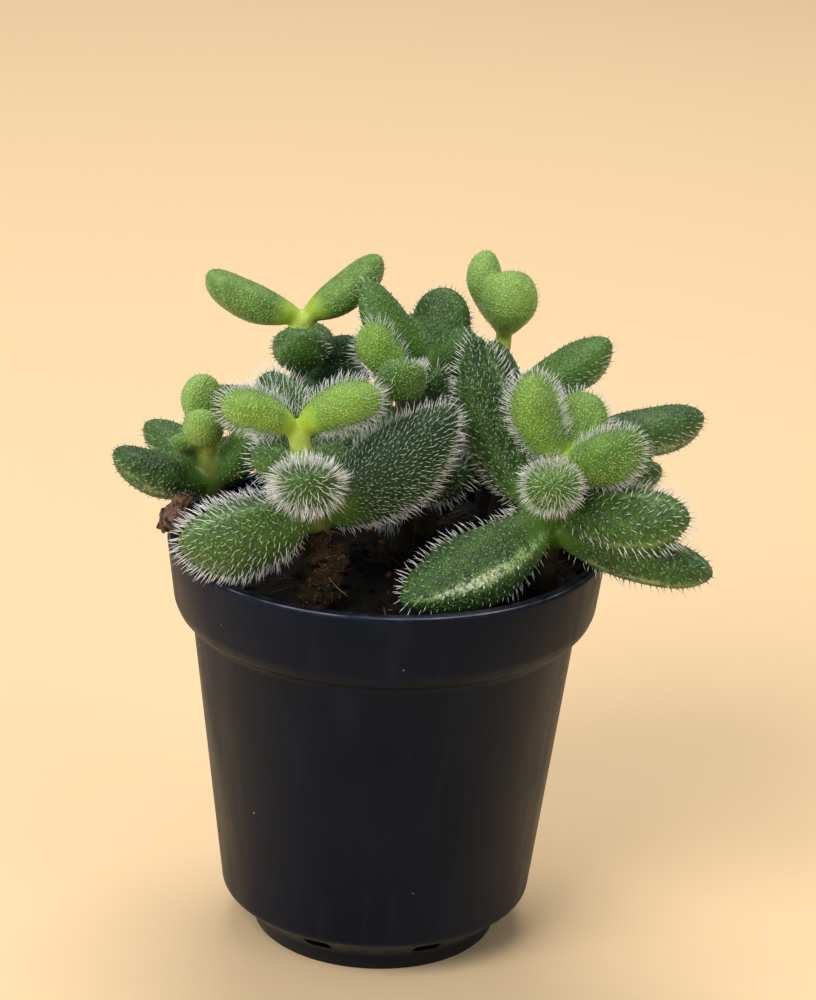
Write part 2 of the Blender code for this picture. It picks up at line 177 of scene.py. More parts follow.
def new_group(name, inputs, outputs, build):
    """A node group. build is given its tree and inputs, and gives a Value for each output."""
    tree = bpy.data.node_groups.new(name, "ShaderNodeTree")
    for label, value in inputs.items():
        kind = "NodeSocketFloat" if isinstance(value, float) else "NodeSocketColor"
        tree.interface.new_socket(label, in_out="INPUT", socket_type=kind).default_value = value
    for label in outputs:
        kind = "NodeSocketColor" if label == "Colour" else "NodeSocketFloat"
        tree.interface.new_socket(label, in_out="OUTPUT", socket_type=kind)
    given = values_of(tree.nodes.new("NodeGroupInput"))
    made = tree.nodes.new("NodeGroupOutput")
    for label, value in zip(outputs, build(tree, given)):
        tree.links.new(value.socket, made.inputs[label])
    return tree


def group_material(name, shader_values, group, inputs, relief=0.1):
    """A material whose colour, roughness and bump come from a node group."""
    material, shader = new_material(name, shader_values)
    made = material.node_tree.nodes.new("ShaderNodeGroup")
    made.node_tree = group
    for key, value in inputs.items():
        made.inputs[key].default_value = value
    out = values_of(made)
    wire(shader, out["Colour"], out["Roughness"], out.get("Height"), relief)
    return material


def rgb(red, green, blue):
    """A colour in the numbers that a picture editor shows, 0 to 255, as Blender's linear one."""
    parts = [c / 255 for c in (red, green, blue)]
    return (*[c / 12.92 if c <= 0.04045 else ((c + 0.055) / 1.055) ** 2.4 for c in parts], 1.0)


print("a mid green is", [round(c, 3) for c in rgb(84, 103, 64)])

# %% [markdown]
# ## Leaf skin
# An ice plant's leaf is covered with clear bladder cells that glisten like tiny beads. They are
# a third of a millimetre wide, too many to model, so a Voronoi pattern raises a dome in each of
# its cells, paints shade between the domes and paints a highlight in the middle of some. Blotches
# of soft noise vary the green, and a colour attribute says how far along its leaf each point is,
# because the green is paler at the root.
# Grown and young leaves have the same skin in different greens, so it is a group with inputs.

# %% Leaf skin group
BEAD = 0.42                       # millimetres from one bladder cell to the next
SKIN = {"Deep": rgb(40, 60, 30), "Light": rgb(80, 110, 55), "Root": rgb(110, 140, 60),
        "Stem": rgb(165, 185, 85), "Wood": rgb(90, 70, 45), "Glint Colour": rgb(190, 210, 170), "Glint": 0.5,
        "Contrast": 1.0, "Finer": 1.0}


def skin_nodes(tree, given):
    place = add(tree, "TexCoord")["Object"]
    growth = add(tree, "Attribute", attribute_name="growth")
    parts = add(tree, "SeparateColor", {0: growth["Color"]})
    along, tone, stem, keel = parts[0], parts[1], parts[2], growth["Alpha"]
    smooth = sums("MAXIMUM", remap(along, 0.34, 0.1), stem)
    beads = add(tree, "TexVoronoi", {"Vector": place, "Scale": given["Finer"] * (1 / (BEAD * MM))})
    dome = remap(beads["Distance"], 0.75, 0.05)
    chance = add(tree, "SeparateColor", {0: beads["Color"]})[0]
    # painted highlight: the middle of some cells is lit
    lit = remap(beads["Distance"], 0.42, 0.1) * remap(chance, 0.35, 0.8)
    patches = remap(sized_noise(place, 4.0, 3.0), 0.3, 0.7, -0.16, 0.16)
    mottle = sized_noise(place, 0.9)
    blend = (tone + patches + remap(mottle, 0.3, 0.7, -0.14, 0.14)).clamped()
    colour = mix(blend, given["Deep"], given["Light"])
    colour = mix(remap(along, 0.36, 0.04), colour, given["Root"])
    high = add(tree, "SeparateXYZ", {0: place})[2]
    stalk = mix(remap(high, 59 * MM, 65 * MM) * remap(tone, 0.0, 0.5), given["Wood"], given["Stem"])
    colour = mix(remap(stem, 0.35, 0.9), colour, stalk)
    # painted shade: the colour is darkened in the gaps between the domes
    shade = remap(sums("MAXIMUM", dome, smooth), 0.0, 0.75, 0.58, 1.06)
    shade = shade * given["Contrast"] + (1 - given["Contrast"]) * 0.9
    colour = mix(1.0, colour, add(tree, "CombineColor", {0: shade, 1: shade, 2: shade})[0], "MULTIPLY")
    # painted glints in the lit cells, plus a painted highlight along the keel, both in the glint colour
    glint = lit * (1 - smooth) * given["Glint"] + keel * remap(mottle, 0.35, 0.6, 0.05, 0.42)
    colour = mix(glint.clamped(), colour, given["Glint Colour"])
    rough = sized_noise(place, 0.45, 3.0, 0.7)
    # the pale line along the keel is partly a band of pale hairs and partly painted highlight
    pale = remap(keel, 0.7, 2.0) * remap(rough, 0.42, 0.6, 0.1, 0.95) * remap(along, 0.35, 0.6)
    colour = mix(pale, colour, rgb(222, 222, 196))
    return colour, remap(lit, 0.0, 1.0, 0.44, 0.24), dome * (1 - smooth * 0.85) + mottle * 0.6


leaf_skin = new_group("leaf skin", SKIN, ("Colour", "Roughness", "Height"), skin_nodes)
print("leaf skin group has", len(leaf_skin.nodes), "nodes")

# %% Leaf materials
LEAF_SHADER = {"Subsurface Radius": (0.5, 1.0, 0.25), "Subsurface Scale": 1.2 * MM,
               "Sheen Weight": 0.05, "Sheen Roughness": 0.5, "Specular IOR Level": 0.38}
GREEN = {"Deep": rgb(28, 60, 18), "Light": rgb(86, 128, 38), "Root": rgb(80, 116, 34),
         "Stem": rgb(146, 164, 72), "Wood": rgb(62, 52, 30), "Glint Colour": rgb(170, 205, 130), "Glint": 0.45}
YOUNG = {"Deep": rgb(80, 124, 40), "Light": rgb(158, 200, 72), "Root": rgb(170, 194, 58),
         "Stem": rgb(184, 202, 90), "Wood": rgb(150, 164, 70), "Glint Colour": rgb(224, 240, 156), "Glint": 0.75,
         "Contrast": 0.85, "Finer": 1.35}
# the leaves at the back get fewer painted glints and less painted shade between the cells
FAR_GREEN = {**GREEN, "Glint": 0.25, "Contrast": 0.5}
FAR_YOUNG_SKIN = {**YOUNG, "Light": rgb(160, 198, 96), "Glint": 0.4, "Contrast": 0.7}
leaf_finish = {                   # for (young or not, at the back or not)
    key: group_material(name, {**LEAF_SHADER, "Subsurface Weight": glow}, leaf_skin, colours, relief)
    for key, name, colours, glow, relief in (
        ((False, False), "green leaf skin", GREEN, 0.1, 0.16),
        ((True, False), "young leaf skin", YOUNG, 0.2, 0.16),
        ((False, True), "green leaf skin at the back", FAR_GREEN, 0.1, 0.1),
        ((True, True), "young leaf skin at the back", FAR_YOUNG_SKIN, 0.2, 0.12))}
print("leaf materials:", len(leaf_finish))

# %% [markdown]
# ## Bristles' finish
# Each bristle is a clear white hair on a green foot. There are thousands, so they share one
# strip of colour: their UV map runs from foot to point, and a colour ramp reads it.

# %% Bristle materials
def bristle_nodes(tree, given):
    height = add(tree, "SeparateXYZ", {0: add(tree, "UVMap", uv_map="OFBake")[0]})[1]
    clear = mix(remap(height, 0.2, 0.8), rgb(214, 220, 200), rgb(250, 244, 248))
    return mix(remap(height, 0.02, 0.32), given["Foot"], clear), remap(height, 0.0, 0.6, 0.5, 0.3)


bristle_colour = new_group("bristle colour", {"Foot": rgb(80, 110, 60)}, ("Colour", "Roughness"),
                           bristle_nodes)
green_bristle, young_bristle, tan_bristle = (
    group_material(name, {"Specular IOR Level": 0.6, "Subsurface Weight": 0.0}, bristle_colour,
                   {"Foot": foot})
    for name, foot in (("bristles on green leaves", rgb(56, 104, 40)),
                       ("bristles on young leaves", rgb(130, 180, 66)),
                       ("tan hairs", rgb(236, 176, 96))))
print("bristle materials:", green_bristle.name, "and", young_bristle.name)

# %% [markdown]
# ## The plant's plan
# The same tables as the CAD source, so that every leaf grows where its solid is: a stem's points
# and radii, then its leaves as (height of the root on the stem, heading, pitch, length, width),
# in millimetres and degrees, and a bow where the leaf bends more than the others.

# %% Stems and leaves
STEM_FOOT, SOIL_LINE = 42.0, 54.0
TOP_FLAT, UNDER_ROUND, BASE_BREADTH, BOW = 0.68, 0.92, 0.8, 0.05
# KEEL's pale line is partly pale hairs and partly painted highlight
KEEL = -0.5                       # a pale line runs along a grown leaf, this angle under its edge
OVERLAP = 0.5                     # a young tip's skin starts this far inside the stem
SHOOTS = {
    "front_left": {
        "path": [(-7.5, -12.5, STEM_FOOT), (-8, -13, 52), (-9, -13.5, 61), (-10.3, -13.8, 68),
                 (-11.7, -14, 74)],
        "radius": (2.0, 1.4),
        "leaves": [(64, -163, -14, 17.6, 11.6), (62.4, 20, 34.5, 22.4, 11),
                   (67.6, -88, 19, 14.5, 7.4), (67.2, 115, 37, 16.6, 8.0),
                   (68.4, 162, 12, 7.4, 5.4), (69, 52, 6, 7.4, 5.0)],
        "young": [(74, -166, 22, 10.2, 6.0, -0.07), (74, 11, 23, 11.2, 6.5, -0.07)],
        "join": 71.7},
    "front_right": {
        "path": [(18.6, -6.6, STEM_FOOT), (20, -7, 52), (20, -7.3, 58), (20.8, -7.8, 63),
                 (21.5, -8, 68.8)],
        "radius": (2.1, 1.8),
        "leaves": [(61, -140, -14, 24.8, 11.0), (59.6, -16, -8.5, 22, 8.0, 0),
                   (63.8, -24, 1, 18.2, 9.2), (61.5, 132, 52, 25.2, 8.8, 0.13),
                   (63, 178, -42, 9, 6.6)],
        "young": [(68.4, 166, 69, 12.2, 7.2), (68.3, -25, 26, 11.6, 8.0),
                  (68.2, 66, 38, 11.2, 7.4), (67.8, -99, 8, 12.3, 6.6)],
        "join": 65.9},
    "right": {
        "path": [(19.4, 6.8, STEM_FOOT), (22.4, 6.6, 52), (25, 5, 62), (25.8, 4.4, 68.8)],
        "radius": (1.8, 1.4),
        "leaves": [(68.3, 15, 6, 15.6, 8.0), (67.6, -20, -16, 9.2, 5.4), (67.9, 150, 20, 7.4, 5.0),
                   (60.6, 70, 8, 13, 6.8), (61.2, 32, 0, 13, 6.6)]},
    "back_right": {
        "path": [(13.6, 9.2, STEM_FOOT), (14.2, 9.4, 52), (16.3, 9.8, 64), (17, 10, 72.6)],
        "radius": (1.7, 1.4),
        "leaves": [(72.2, 20, 25, 13.4, 7.6), (72.1, 185, 55, 8, 5.0), (60, 68, 4, 12.5, 6.4),
                   (62.3, 186, 9, 8.6, 6.4)]},
    "back_centre": {
        "path": [(12.2, 16.4, STEM_FOOT), (12.8, 18, 52), (13.8, 18.4, 66), (14.5, 18.2, 77.4)],
        "radius": (1.4, 1.1),
        "leaves": [(66, 165, 25, 10, 5.6), (68.4, 8, 20, 11, 5.6), (59, 80, 6, 14, 6.8)],
        "young": [(77, 172, 74, 11.6, 6.6), (76.6, -80, 70, 10.4, 8.4)],
        "join": 75.2},
    "rear_middle": {
        "path": [(5.2, 11.2, STEM_FOOT), (5, 11, 52), (5.2, 10.6, 64), (5, 10.4, 74.2)],
        "radius": (1.6, 1.3),
        "leaves": [(73.8, 172, 52, 15, 7.0), (73.8, 76, 58, 11.6, 8.4), (73.8, -14, 48, 8.0, 6.2),
                   (64, 62, 12, 7.5, 5.0), (64.4, 140, 12, 9, 6.0)]},
    "centre": {
        "path": [(2, 4, STEM_FOOT), (2, 3.6, 52), (1.6, 3, 62), (1.8, 2.6, 70), (1.6, 2.4, 76.2)],
        "radius": (1.8, 1.4),
        "leaves": [(67, 5, 67, 11, 4.4),
                   (65, 200, 14, 12, 7.2), (63.2, -44, 12, 12, 7.4), (60, -118, 4, 10, 6.4)],
        "young": [(76, 196, 52, 8.8, 6.4), (75.6, -94, 22, 13.4, 6.2)],
        "join": 73.8},
    "back_left": {
        "path": [(-10.4, 15, STEM_FOOT), (-11, 15.5, 52), (-12, 15.6, 66), (-12.2, 15.4, 79.4)],
        "radius": (1.9, 1.6),
        "leaves": [(74.4, -92, 27, 10.8, 7.2), (73, 88, 4, 12.4, 7.6), (66, 172, 4, 14.5, 7.6),
                   (73.4, 14, 12, 8.2, 6.2), (70.2, -10, 10, 9.2, 7.0), (59.4, 108, 6, 14, 7.2),
                   (62, -60, 8, 9, 6)],
        "young": [(79.2, 178, 22, 13.8, 6.4), (79.2, 16, 36.5, 13.0, 6.2)],
        "join": 77.3},
    "left": {
        "path": [(-19.4, 2.6, STEM_FOOT), (-21.4, 3, 52), (-22.8, 3, 60), (-24, 3, 66.6)],
        "radius": (1.8, 1.5),
        "leaves": [(59.6, -167, 22, 14.3, 7.0), (60.3, 10, 56, 10.5, 6.8), (63.4, 140, 10, 11.6, 6.2),
                   (60.2, 74, 15, 10.5, 6.6)],
        "young": [(66.4, 120, 80, 8.2, 5.4), (66.2, -92, 40, 8.6, 5.2), (66.4, -150, 0, 5, 3.0)],
        "join": 64.9},
    "rear_left": {
        "path": [(-0.8, 18.8, STEM_FOOT), (-1, 20, 52), (-1.4, 20.3, 62), (-1.2, 20.6, 69.5)],
        "radius": (1.7, 1.4),
        "leaves": [(69.3, 68, 28, 12.5, 6.8), (69.3, 292, 40, 8, 5.6), (62.5, 158, 8, 9.5, 6.6),
                   (59.6, 92, 6, 12.5, 7.0)]},
}


def point_at(path, height):
    """The point of a stem's path at a height."""
    for low, high in zip(path, path[1:]):
        if height <= high[2]:
            break
    share = (height - low[2]) / (high[2] - low[2])
    return Vector(low).lerp(Vector(high), share)


def radius_at(shoot, height):
    low, high = shoot["radius"]
    path = shoot["path"]
    return low + (high - low) * (height - path[0][2]) / (path[-1][2] - path[0][2])


# Leaves that differ from the others: roll turns the flat side round the leaf's length, point
# sharpens the tip, base is the breadth at the root, thick scales the thickness, tone goes from
# dark to light (some low tones below are painted shade, on leaves deep in the plant), keel is
# the strength of the pale line, which is partly pale hairs and partly painted highlight, ridge
# is where it runs (degrees from the left edge up to the top), and bristles is as in the rows
# below the table. The leaves in front have their fringe along the line that the camera sees in
# profile, as in the photograph.
OWN = {
    "stem_front_left": {
        0: {"roll": 22, "point": 0.62, "tone": 0.65, "keel": 1.0, "ridge": 42,
            "bristles": (1.95, 1.15, 0.1, 0.72, 0.36)},
        # this leaf's low tone is painted shade
        1: {"roll": -62, "point": 0.76, "tone": -0.15, "keel": 0.15,
            "bristles": (1.9, 0.75, 0.085, 0.52, 0.36)},
        2: {"bristles": (2.6, 2.3, 0.085, 0.5, 0.42), "thick": 0.86},
        3: {"bristles": (1.8, 1.3, 0.08, 0.5, 0.36)},
        4: {"tone": 1.0}, 5: {"tone": 1.0}},
    "tip_front_left": {
        0: {"tone": 0.8, "base": 0.76, "bristles": (1.75, 0.55, 0.072, 0.42, 0.27)},
        1: {"tone": 0.9, "base": 0.76, "bristles": (1.75, 0.55, 0.072, 0.42, 0.27)}},
    "stem_front_right": {
        0: {"roll": -14, "point": 0.68, "tone": 0.4, "base": 0.68, "keel": 2.2, "ridge": 38,
            "bristles": (1.75, 0.55, 0.12, 0.9, 0.62)},
        1: {"tone": 0.35, "keel": 1.2, "bristles": (1.3, 0.5, 0.11, 1.3, 0.75)},
        2: {"roll": 15, "tone": 0.6, "bristles": (1.8, 1.3, 0.1, 0.85, 0.42)},
        3: {"point": 0.66}},
    "tip_front_right": {
        0: {"tone": 0.65, "bristles": (1.8, 0.6, 0.072, 0.45, 0.3)},
        1: {"tone": 0.3, "bristles": (1.6, 0.5, 0.07, 0.46, 0.32)},
        2: {"tone": 0.55, "bristles": (1.7, 0.6, 0.072, 0.45, 0.3)},
        3: {"tone": 0.1, "bristles": (1.8, 1.6, 0.075, 0.42, 0.4)}},
    "tip_back_centre": {0: {"tone": 0.9, "base": 0.5}, 1: {"tone": 0.85, "base": 0.45}},
    "stem_right": {0: {"tone": 0.4}},
    "stem_back_right": {0: {"tone": 0.9}},
    "stem_rear_middle": {0: {"tone": 0.9}},
    # the low tones of these four leaves are painted shade, deep in the plant
    "stem_back_left": {3: {"tone": 0.0}, 4: {"tone": 0.0}},
    "stem_centre": {2: {"tone": -0.25}, 3: {"tone": -0.25}},
    "tip_centre": {0: {"tone": 0.75}, 1: {"tone": 0.0}},
    "tip_back_left": {1: {"tone": 0.45}},
    "stem_left": {1: {"tone": 1.0}},
    "tip_left": {0: {"tone": 1.0}, 1: {"tone": 1.0}},
}
# Bristles in millimetres: length at a leaf's edge and on its face, foot radius, then the spacing
# on the face and at the edge. The stems at the back and sides have finer ones.
BRISTLES = {                      # for (young or not, at the back or not)
    (False, False): (1.9, 0.75, 0.095, 0.76, 0.4), (True, False): (1.55, 0.42, 0.065, 0.5, 0.33),
    (False, True): (1.1, 0.5, 0.085, 0.8, 0.5), (True, True): (0.8, 0.35, 0.05, 0.62, 0.46)}
FAR_STEMS = {"right", "back_right", "back_centre", "rear_middle", "back_left", "left", "rear_left"}


def profile_angle(shoot, height, turn):
    """How far round a leaf, from its left edge up, the line lies that the camera sees in profile."""
    sight = camera.matrix_world.translation / MM - point_at(shoot["path"], height)
    sight = np.array(turn).T @ np.array(sight)
    return math.atan2(sight[2], sight[1]) + math.pi / 2


def leaf_record(name, number, shoot, row, young):
    """A leaf's shape and place: turn has its axes as columns, +X to its tip, +Z its upper side."""
    height, heading, pitch, length, width = row[:5]
    far = name.partition("_")[2] in FAR_STEMS
    leaf = {"length": length, "width": width, "bow": row[5] if len(row) > 5 else BOW, "roll": 0,
            "point": 0.5 if young else 0.58, "base": BASE_BREADTH, "thick": 1.0, "tone": None,
            "keel": 0.0 if young else 1.0, "ridge": None, "bristles": BRISTLES[young, far],
            **OWN.get(name, {}).get(number, {})}
    leaf["roll"] = math.radians(leaf["roll"])
    turn = (Matrix.Rotation(math.radians(heading), 3, "Z")
            @ Matrix.Rotation(math.radians(-pitch), 3, "Y") @ Matrix.Rotation(leaf["roll"], 3, "X"))
    leaf["root"], leaf["turn"] = np.array(point_at(shoot["path"], height)), np.array(turn)
    leaf["margin"] = 0.0 if far else profile_angle(shoot, height, turn)
    return leaf


def plan_nodes():
    """Each plant node as a dictionary: its name, stem, leaves, slot and whether it is young."""
    nodes = []
    for name, shoot in SHOOTS.items():
        path, top = shoot["path"], shoot["path"][-1][2]
        join = shoot.get("join", top)
        parts = [("stem", [p for p in path if p[2] < join] + [tuple(point_at(path, join))],
                  (shoot["radius"][0], radius_at(shoot, join)), shoot["leaves"], False)]
        if "young" in shoot:
            start = join - OVERLAP
            parts.append(("tip", [tuple(point_at(path, start)), path[-1]],
                          (radius_at(shoot, start), shoot["radius"][1]), shoot["young"], True))
        for kind, line, radius, rows, young in parts:
            full = f"{kind}_{name}"
            leaves = [leaf_record(full, i, shoot, row, young) for i, row in enumerate(rows)]
            nodes.append({"name": full, "path": line, "radius": radius, "leaves": leaves,
                          "young": young, "slot": "leaf_young" if young else "leaf_green"})
    return nodes


plan = plan_nodes()
print(len(plan), "plant nodes with", sum(len(node["leaves"]) for node in plan), "leaves")

# %% [markdown]
# ## Leaf shapes
# A leaf is a fat finger with a flatter top. It starts as one smooth sphere, and a rule moves the
# sphere's points: its height becomes the way along the leaf, and its angle the way round.
# Slow waves make each leaf a little uneven. Sculpting by hand would be freer, but a rule keeps
# every leaf on its CAD solid.

# %% Leaf shell
SHELL_SIDES, SHELL_RINGS = 56, 44


def half_breadth(leaf, along):
    round_ends = 2 * np.clip(along, 0, 1) ** 0.5 * np.clip(1 - along, 0, 1) ** leaf["point"]
    round_ends *= 2 ** (leaf["point"] - 0.5)
    return round_ends * (leaf["base"] + (1.16 - leaf["base"]) * along) * leaf["width"] / 2


def sag(leaf, along):
    return 4 * leaf["bow"] * leaf["length"] * along * (1 - along)


def new_mesh(name, body):
    mesh = bpy.data.meshes.new(name)
    body.to_mesh(mesh)
    body.free()
    return mesh


def numbers(items, name, kind=float):
    """Three numbers of each of a mesh's parts, such as the places of its vertices, as rows."""
    rows = np.empty(len(items) * 3, kind)
    items.foreach_get(name, rows)
    return rows.reshape(-1, 3)


def points_of(mesh):
    return numbers(mesh.vertices, "co")


def set_points(mesh, points):
    mesh.vertices.foreach_set("co", np.asarray(points, float).ravel())
    mesh.update()


def leaf_shell(leaf, number):
    """One leaf's closed shell, in metres, in its place."""
    body = bmesh.new()
    bmesh.ops.create_uvsphere(body, u_segments=SHELL_SIDES, v_segments=SHELL_RINGS, radius=1)
    mesh = new_mesh("leaf_shell", body)
    ball = points_of(mesh)
    along = np.clip((1 + ball[:, 2]) / 2, 0, 1)
    around = np.arctan2(ball[:, 1], ball[:, 0])
    wave = 1 + 0.025 * np.sin(5.1 * along + 2 * around + number)
    wave += 0.02 * np.sin(11 * along + 1.7 * number)
    half = half_breadth(leaf, along) * wave
    up = np.cos(around)
    up = np.where(up > 0, np.abs(up) ** 0.75 * TOP_FLAT, up * UNDER_ROUND)
    up = up * half * leaf["thick"]
    local = np.stack([along * leaf["length"], -np.sin(around) * half, up], axis=1)
    down = leaf["turn"] @ roll_back(leaf) * -sag(leaf, along)[:, None]
    set_points(mesh, (local @ leaf["turn"].T + down + leaf["root"]) * MM)
    return mesh


def roll_back(leaf):
    """The way that a leaf bows, in its own frame: its upper side before it was rolled."""
    return np.array((0, math.sin(leaf["roll"]), math.cos(leaf["roll"])))


sample = leaf_shell(plan[0]["leaves"][0], 1)
print("one leaf shell has", len(sample.polygons), "faces")
bpy.data.meshes.remove(sample)

# %% Stem shell
STEM_SIDES, STEM_STEP = 28, 1.5   # the tube's sides, and how far it rises in one step


def stem_shell(path, radii):
    """A stem's closed tube along its path, from one radius to the other."""
    body = bmesh.new()
    bmesh.ops.create_circle(body, cap_ends=True, segments=STEM_SIDES, radius=radii[0] * MM)
    bmesh.ops.translate(body, verts=body.verts, vec=Vector(path[0]) * MM)
    rise = path[-1][2] - path[0][2]
    steps = max(3, round(rise / STEM_STEP))
    radius, middle, face = radii[0], Vector(path[0]), body.faces[:]
    for i in range(1, steps + 1):
        height = path[0][2] + rise * i / steps
        place = point_at(path, height)
        wide = radii[0] + (radii[1] - radii[0]) * i / steps
        wide *= 1 + 0.04 * math.sin(height * 1.9)
        moved = bmesh.ops.extrude_face_region(body, geom=face)["geom"]
        verts = [item for item in moved if isinstance(item, bmesh.types.BMVert)]
        bmesh.ops.translate(body, verts=verts, vec=(place - middle) * MM)
        bmesh.ops.scale(body, verts=verts, vec=(wide / radius, wide / radius, 1),
                        space=Matrix.Translation(-place * MM))
        if i > 1:
            bmesh.ops.delete(body, geom=face, context="FACES_ONLY")
        face = [item for item in moved if isinstance(item, bmesh.types.BMFace)]
        radius, middle = wide, place
    bmesh.ops.recalc_face_normals(body, faces=body.faces)
    return new_mesh("stem_shell", body)


sample = stem_shell(SHOOTS["front_left"]["path"], (2.0, 1.75))
print("one stem shell has", len(sample.polygons), "faces")
bpy.data.meshes.remove(sample)

# %% [markdown]
# ## Growing leaves and stem together
# On the plant a leaf's foot flows into the stem without a crease. Shells that only cross show a
# hard line there. So all shells of a node go into one mesh, the voxel Remesh modifier makes one
# skin of them, and the skin is smoothed, most of all where two shells meet.

# %% One skin for each node
def node_object(name, mesh):
    obj = bpy.data.objects.new(name, mesh)
    bpy.context.scene.collection.objects.link(obj)
    return obj


def evaluated(obj):
    """The object's mesh with its modifiers applied. The object itself is removed."""
    bpy.context.view_layer.update()
    depsgraph = bpy.context.evaluated_depsgraph_get()
    mesh = bpy.data.meshes.new_from_object(obj.evaluated_get(depsgraph))
    old = obj.data
    bpy.data.objects.remove(obj, do_unlink=True)
    bpy.data.meshes.remove(old)
    return mesh


def joined(name, meshes):
    body = bmesh.new()
    for mesh in meshes:
        body.from_mesh(mesh)
        bpy.data.meshes.remove(mesh)
    return new_mesh(name, body)


def remeshed(name, mesh, voxel):
    """The mesh as one even skin of faces about voxel millimetres wide."""
    obj = node_object(name, mesh)
    remesh = obj.modifiers.new("one skin", "REMESH")
    remesh.mode = "VOXEL"
    remesh.voxel_size = voxel * MM
    return evaluated(obj)


def readings(points, node):
    """For points in millimetres, and for each leaf and then the stem: the distance to its skin,
    the way along it, the angle above its side edge and the angle from its ridge."""
    distances, alongs, sides, ridges = [], [], [], []
    for leaf in node["leaves"]:
        local = (points - leaf["root"]) @ leaf["turn"]
        along = local[:, 0] / leaf["length"]
        inside = np.clip(along, 0.02, 0.98)
        half = half_breadth(leaf, inside)
        local = local + roll_back(leaf) * sag(leaf, inside)[:, None]
        tall = half * np.where(local[:, 2] > 0, TOP_FLAT, UNDER_ROUND) * leaf["thick"]
        ratio = np.sqrt((local[:, 1] / half) ** 2 + (local[:, 2] / tall) ** 2)
        beyond = np.abs(along - np.clip(along, 0, 1)) * leaf["length"]
        distances.append((ratio - 1) * (half + tall) / 2 + beyond)
        alongs.append(np.clip(along, 0, 1))
        turn = math.cos(leaf["margin"]), math.sin(leaf["margin"])
        level, rise = local[:, 1] / half, local[:, 2] / tall
        up, out = rise * turn[0] - level * turn[1], level * turn[0] + rise * turn[1]
        sides.append(np.arctan2(up, np.abs(out)))
        if leaf["ridge"] is None:
            ridges.append(sides[-1] - KEEL)
        else:
            ridges.append(np.arctan2(rise, level) - math.radians(leaf["ridge"]))
    path = np.array(node["path"])
    centre = np.stack([np.interp(points[:, 2], path[:, 2], path[:, i]) for i in (0, 1)], axis=1)
    beyond = np.abs(points[:, 2] - np.clip(points[:, 2], path[0, 2], path[-1, 2]))
    wide = np.interp(points[:, 2], path[[0, -1], 2], node["radius"])
    distances.append(np.linalg.norm(points[:, :2] - centre, axis=1) - wide + beyond)
    for rows, value in ((alongs, 0.0), (sides, -1.2), (ridges, 2.0)):     # far from any fringe
        rows.append(np.full(len(points), value))
    return [np.array(rows) for rows in (distances, alongs, sides, ridges)]


def smooth_points(mesh, chosen, times):
    body = bmesh.new()
    body.from_mesh(mesh)
    body.verts.ensure_lookup_table()
    verts = body.verts[:] if chosen is None else [body.verts[i] for i in np.flatnonzero(chosen)]
    for _ in range(times):
        bmesh.ops.smooth_vert(body, verts=verts, factor=0.5, use_axis_x=True, use_axis_y=True,
                              use_axis_z=True)
    body.to_mesh(mesh)
    body.free()


VOXEL = {False: 0.38, True: 0.28}     # for a grown and for a young node
CREASE = 0.9                      # nearer than this to a second shell, the skin is smoothed more
BLEND = 0.45                      # over this distance one leaf's values give way to the next one's
# the stems in the plant's middle get low tones, so they stay dark brown all the way up: painted shade
SHADED_STEM_TONES = {"stem_centre": 0.05, "stem_rear_middle": 0.1, "stem_back_left": 0.1}


def grow(node, draw):
    """The node's skin, with how far along, which tone and how much stem at each point."""
    name = node["name"]
    shells = [leaf_shell(leaf, i + len(name)) for i, leaf in enumerate(node["leaves"])]
    shells.append(stem_shell(node["path"], node["radius"]))
    mesh = remeshed(name, joined(name, shells), VOXEL[node["young"]])
    smooth_points(mesh, None, 3)
    distances = readings(points_of(mesh) / MM, node)[0]
    smooth_points(mesh, np.sort(distances, axis=0)[1] < CREASE, 14)
    distances, alongs, sides, ridges = readings(points_of(mesh) / MM, node)
    weights = np.exp(-np.clip(distances, -1, 8) / BLEND)
    weights /= weights.sum(0)
    tones = [draw.uniform(0.15, 0.75) for _ in node["leaves"]]
    tones = [own if leaf["tone"] is None else leaf["tone"] for leaf, own in zip(node["leaves"], tones)]
    tones = np.array(tones + [SHADED_STEM_TONES.get(name, 0.5)])
    along, side = (weights * alongs).sum(0), (weights * sides).sum(0)
    strengths = np.array([leaf["keel"] for leaf in node["leaves"]] + [0.0])[:, None]
    keel = (weights * strengths * np.exp(-(ridges / 0.2) ** 2)).sum(0)
    keel *= np.clip(4 * along * (1.05 - along), 0, 1)
    growth = np.stack([along, (weights * tones[:, None]).sum(0), weights[-1], keel], axis=1)
    layer = mesh.color_attributes.new("growth", "FLOAT_COLOR", "POINT")
    layer.data.foreach_set("color", growth.ravel())
    mesh.shade_smooth()
    node.update(weights=weights, along=along, side=side, keel=keel, mesh=mesh)


draw = random.Random(SEED)
for node in plan:
    grow(node, draw)
print("plant skins:", sum(len(node["mesh"].polygons) for node in plan) * 2, "triangles")

# %% Put the skins in the scene
def place_piece(name, mesh, material, slot, *nodes):
    obj = node_object(name, mesh)
    mesh.materials.clear()
    mesh.materials.append(material)
    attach(obj, "root")
    if nodes:
        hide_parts(*nodes)
    return obj


for node in plan:
    material = leaf_finish[node["young"], node["name"].partition("_")[2] in FAR_STEMS]
    place_piece(f"{node['name']}_skin", node["mesh"], material, node["slot"], node["name"])
print("placed", len(plan), "leafy pieces")

# %% [markdown]
# ## Bristles
# Stiff white bristles stand all over the leaves, leaning a little to the tip. A hair system
# would draw them, but only real faces can be exported. One bristle is turned from a small circle
# by extruding and shrinking it, an Array modifier copies it, and a seeded rule sets each copy on
# a spot of the skin that keeps its distance from the others.

# %% One bristle
BRISTLE_SIDES = 4
BRISTLE_RINGS = [(0.14, 0.6), (0.55, 0.42), (1.0, 0.03)]   # height and breadth, over the foot's


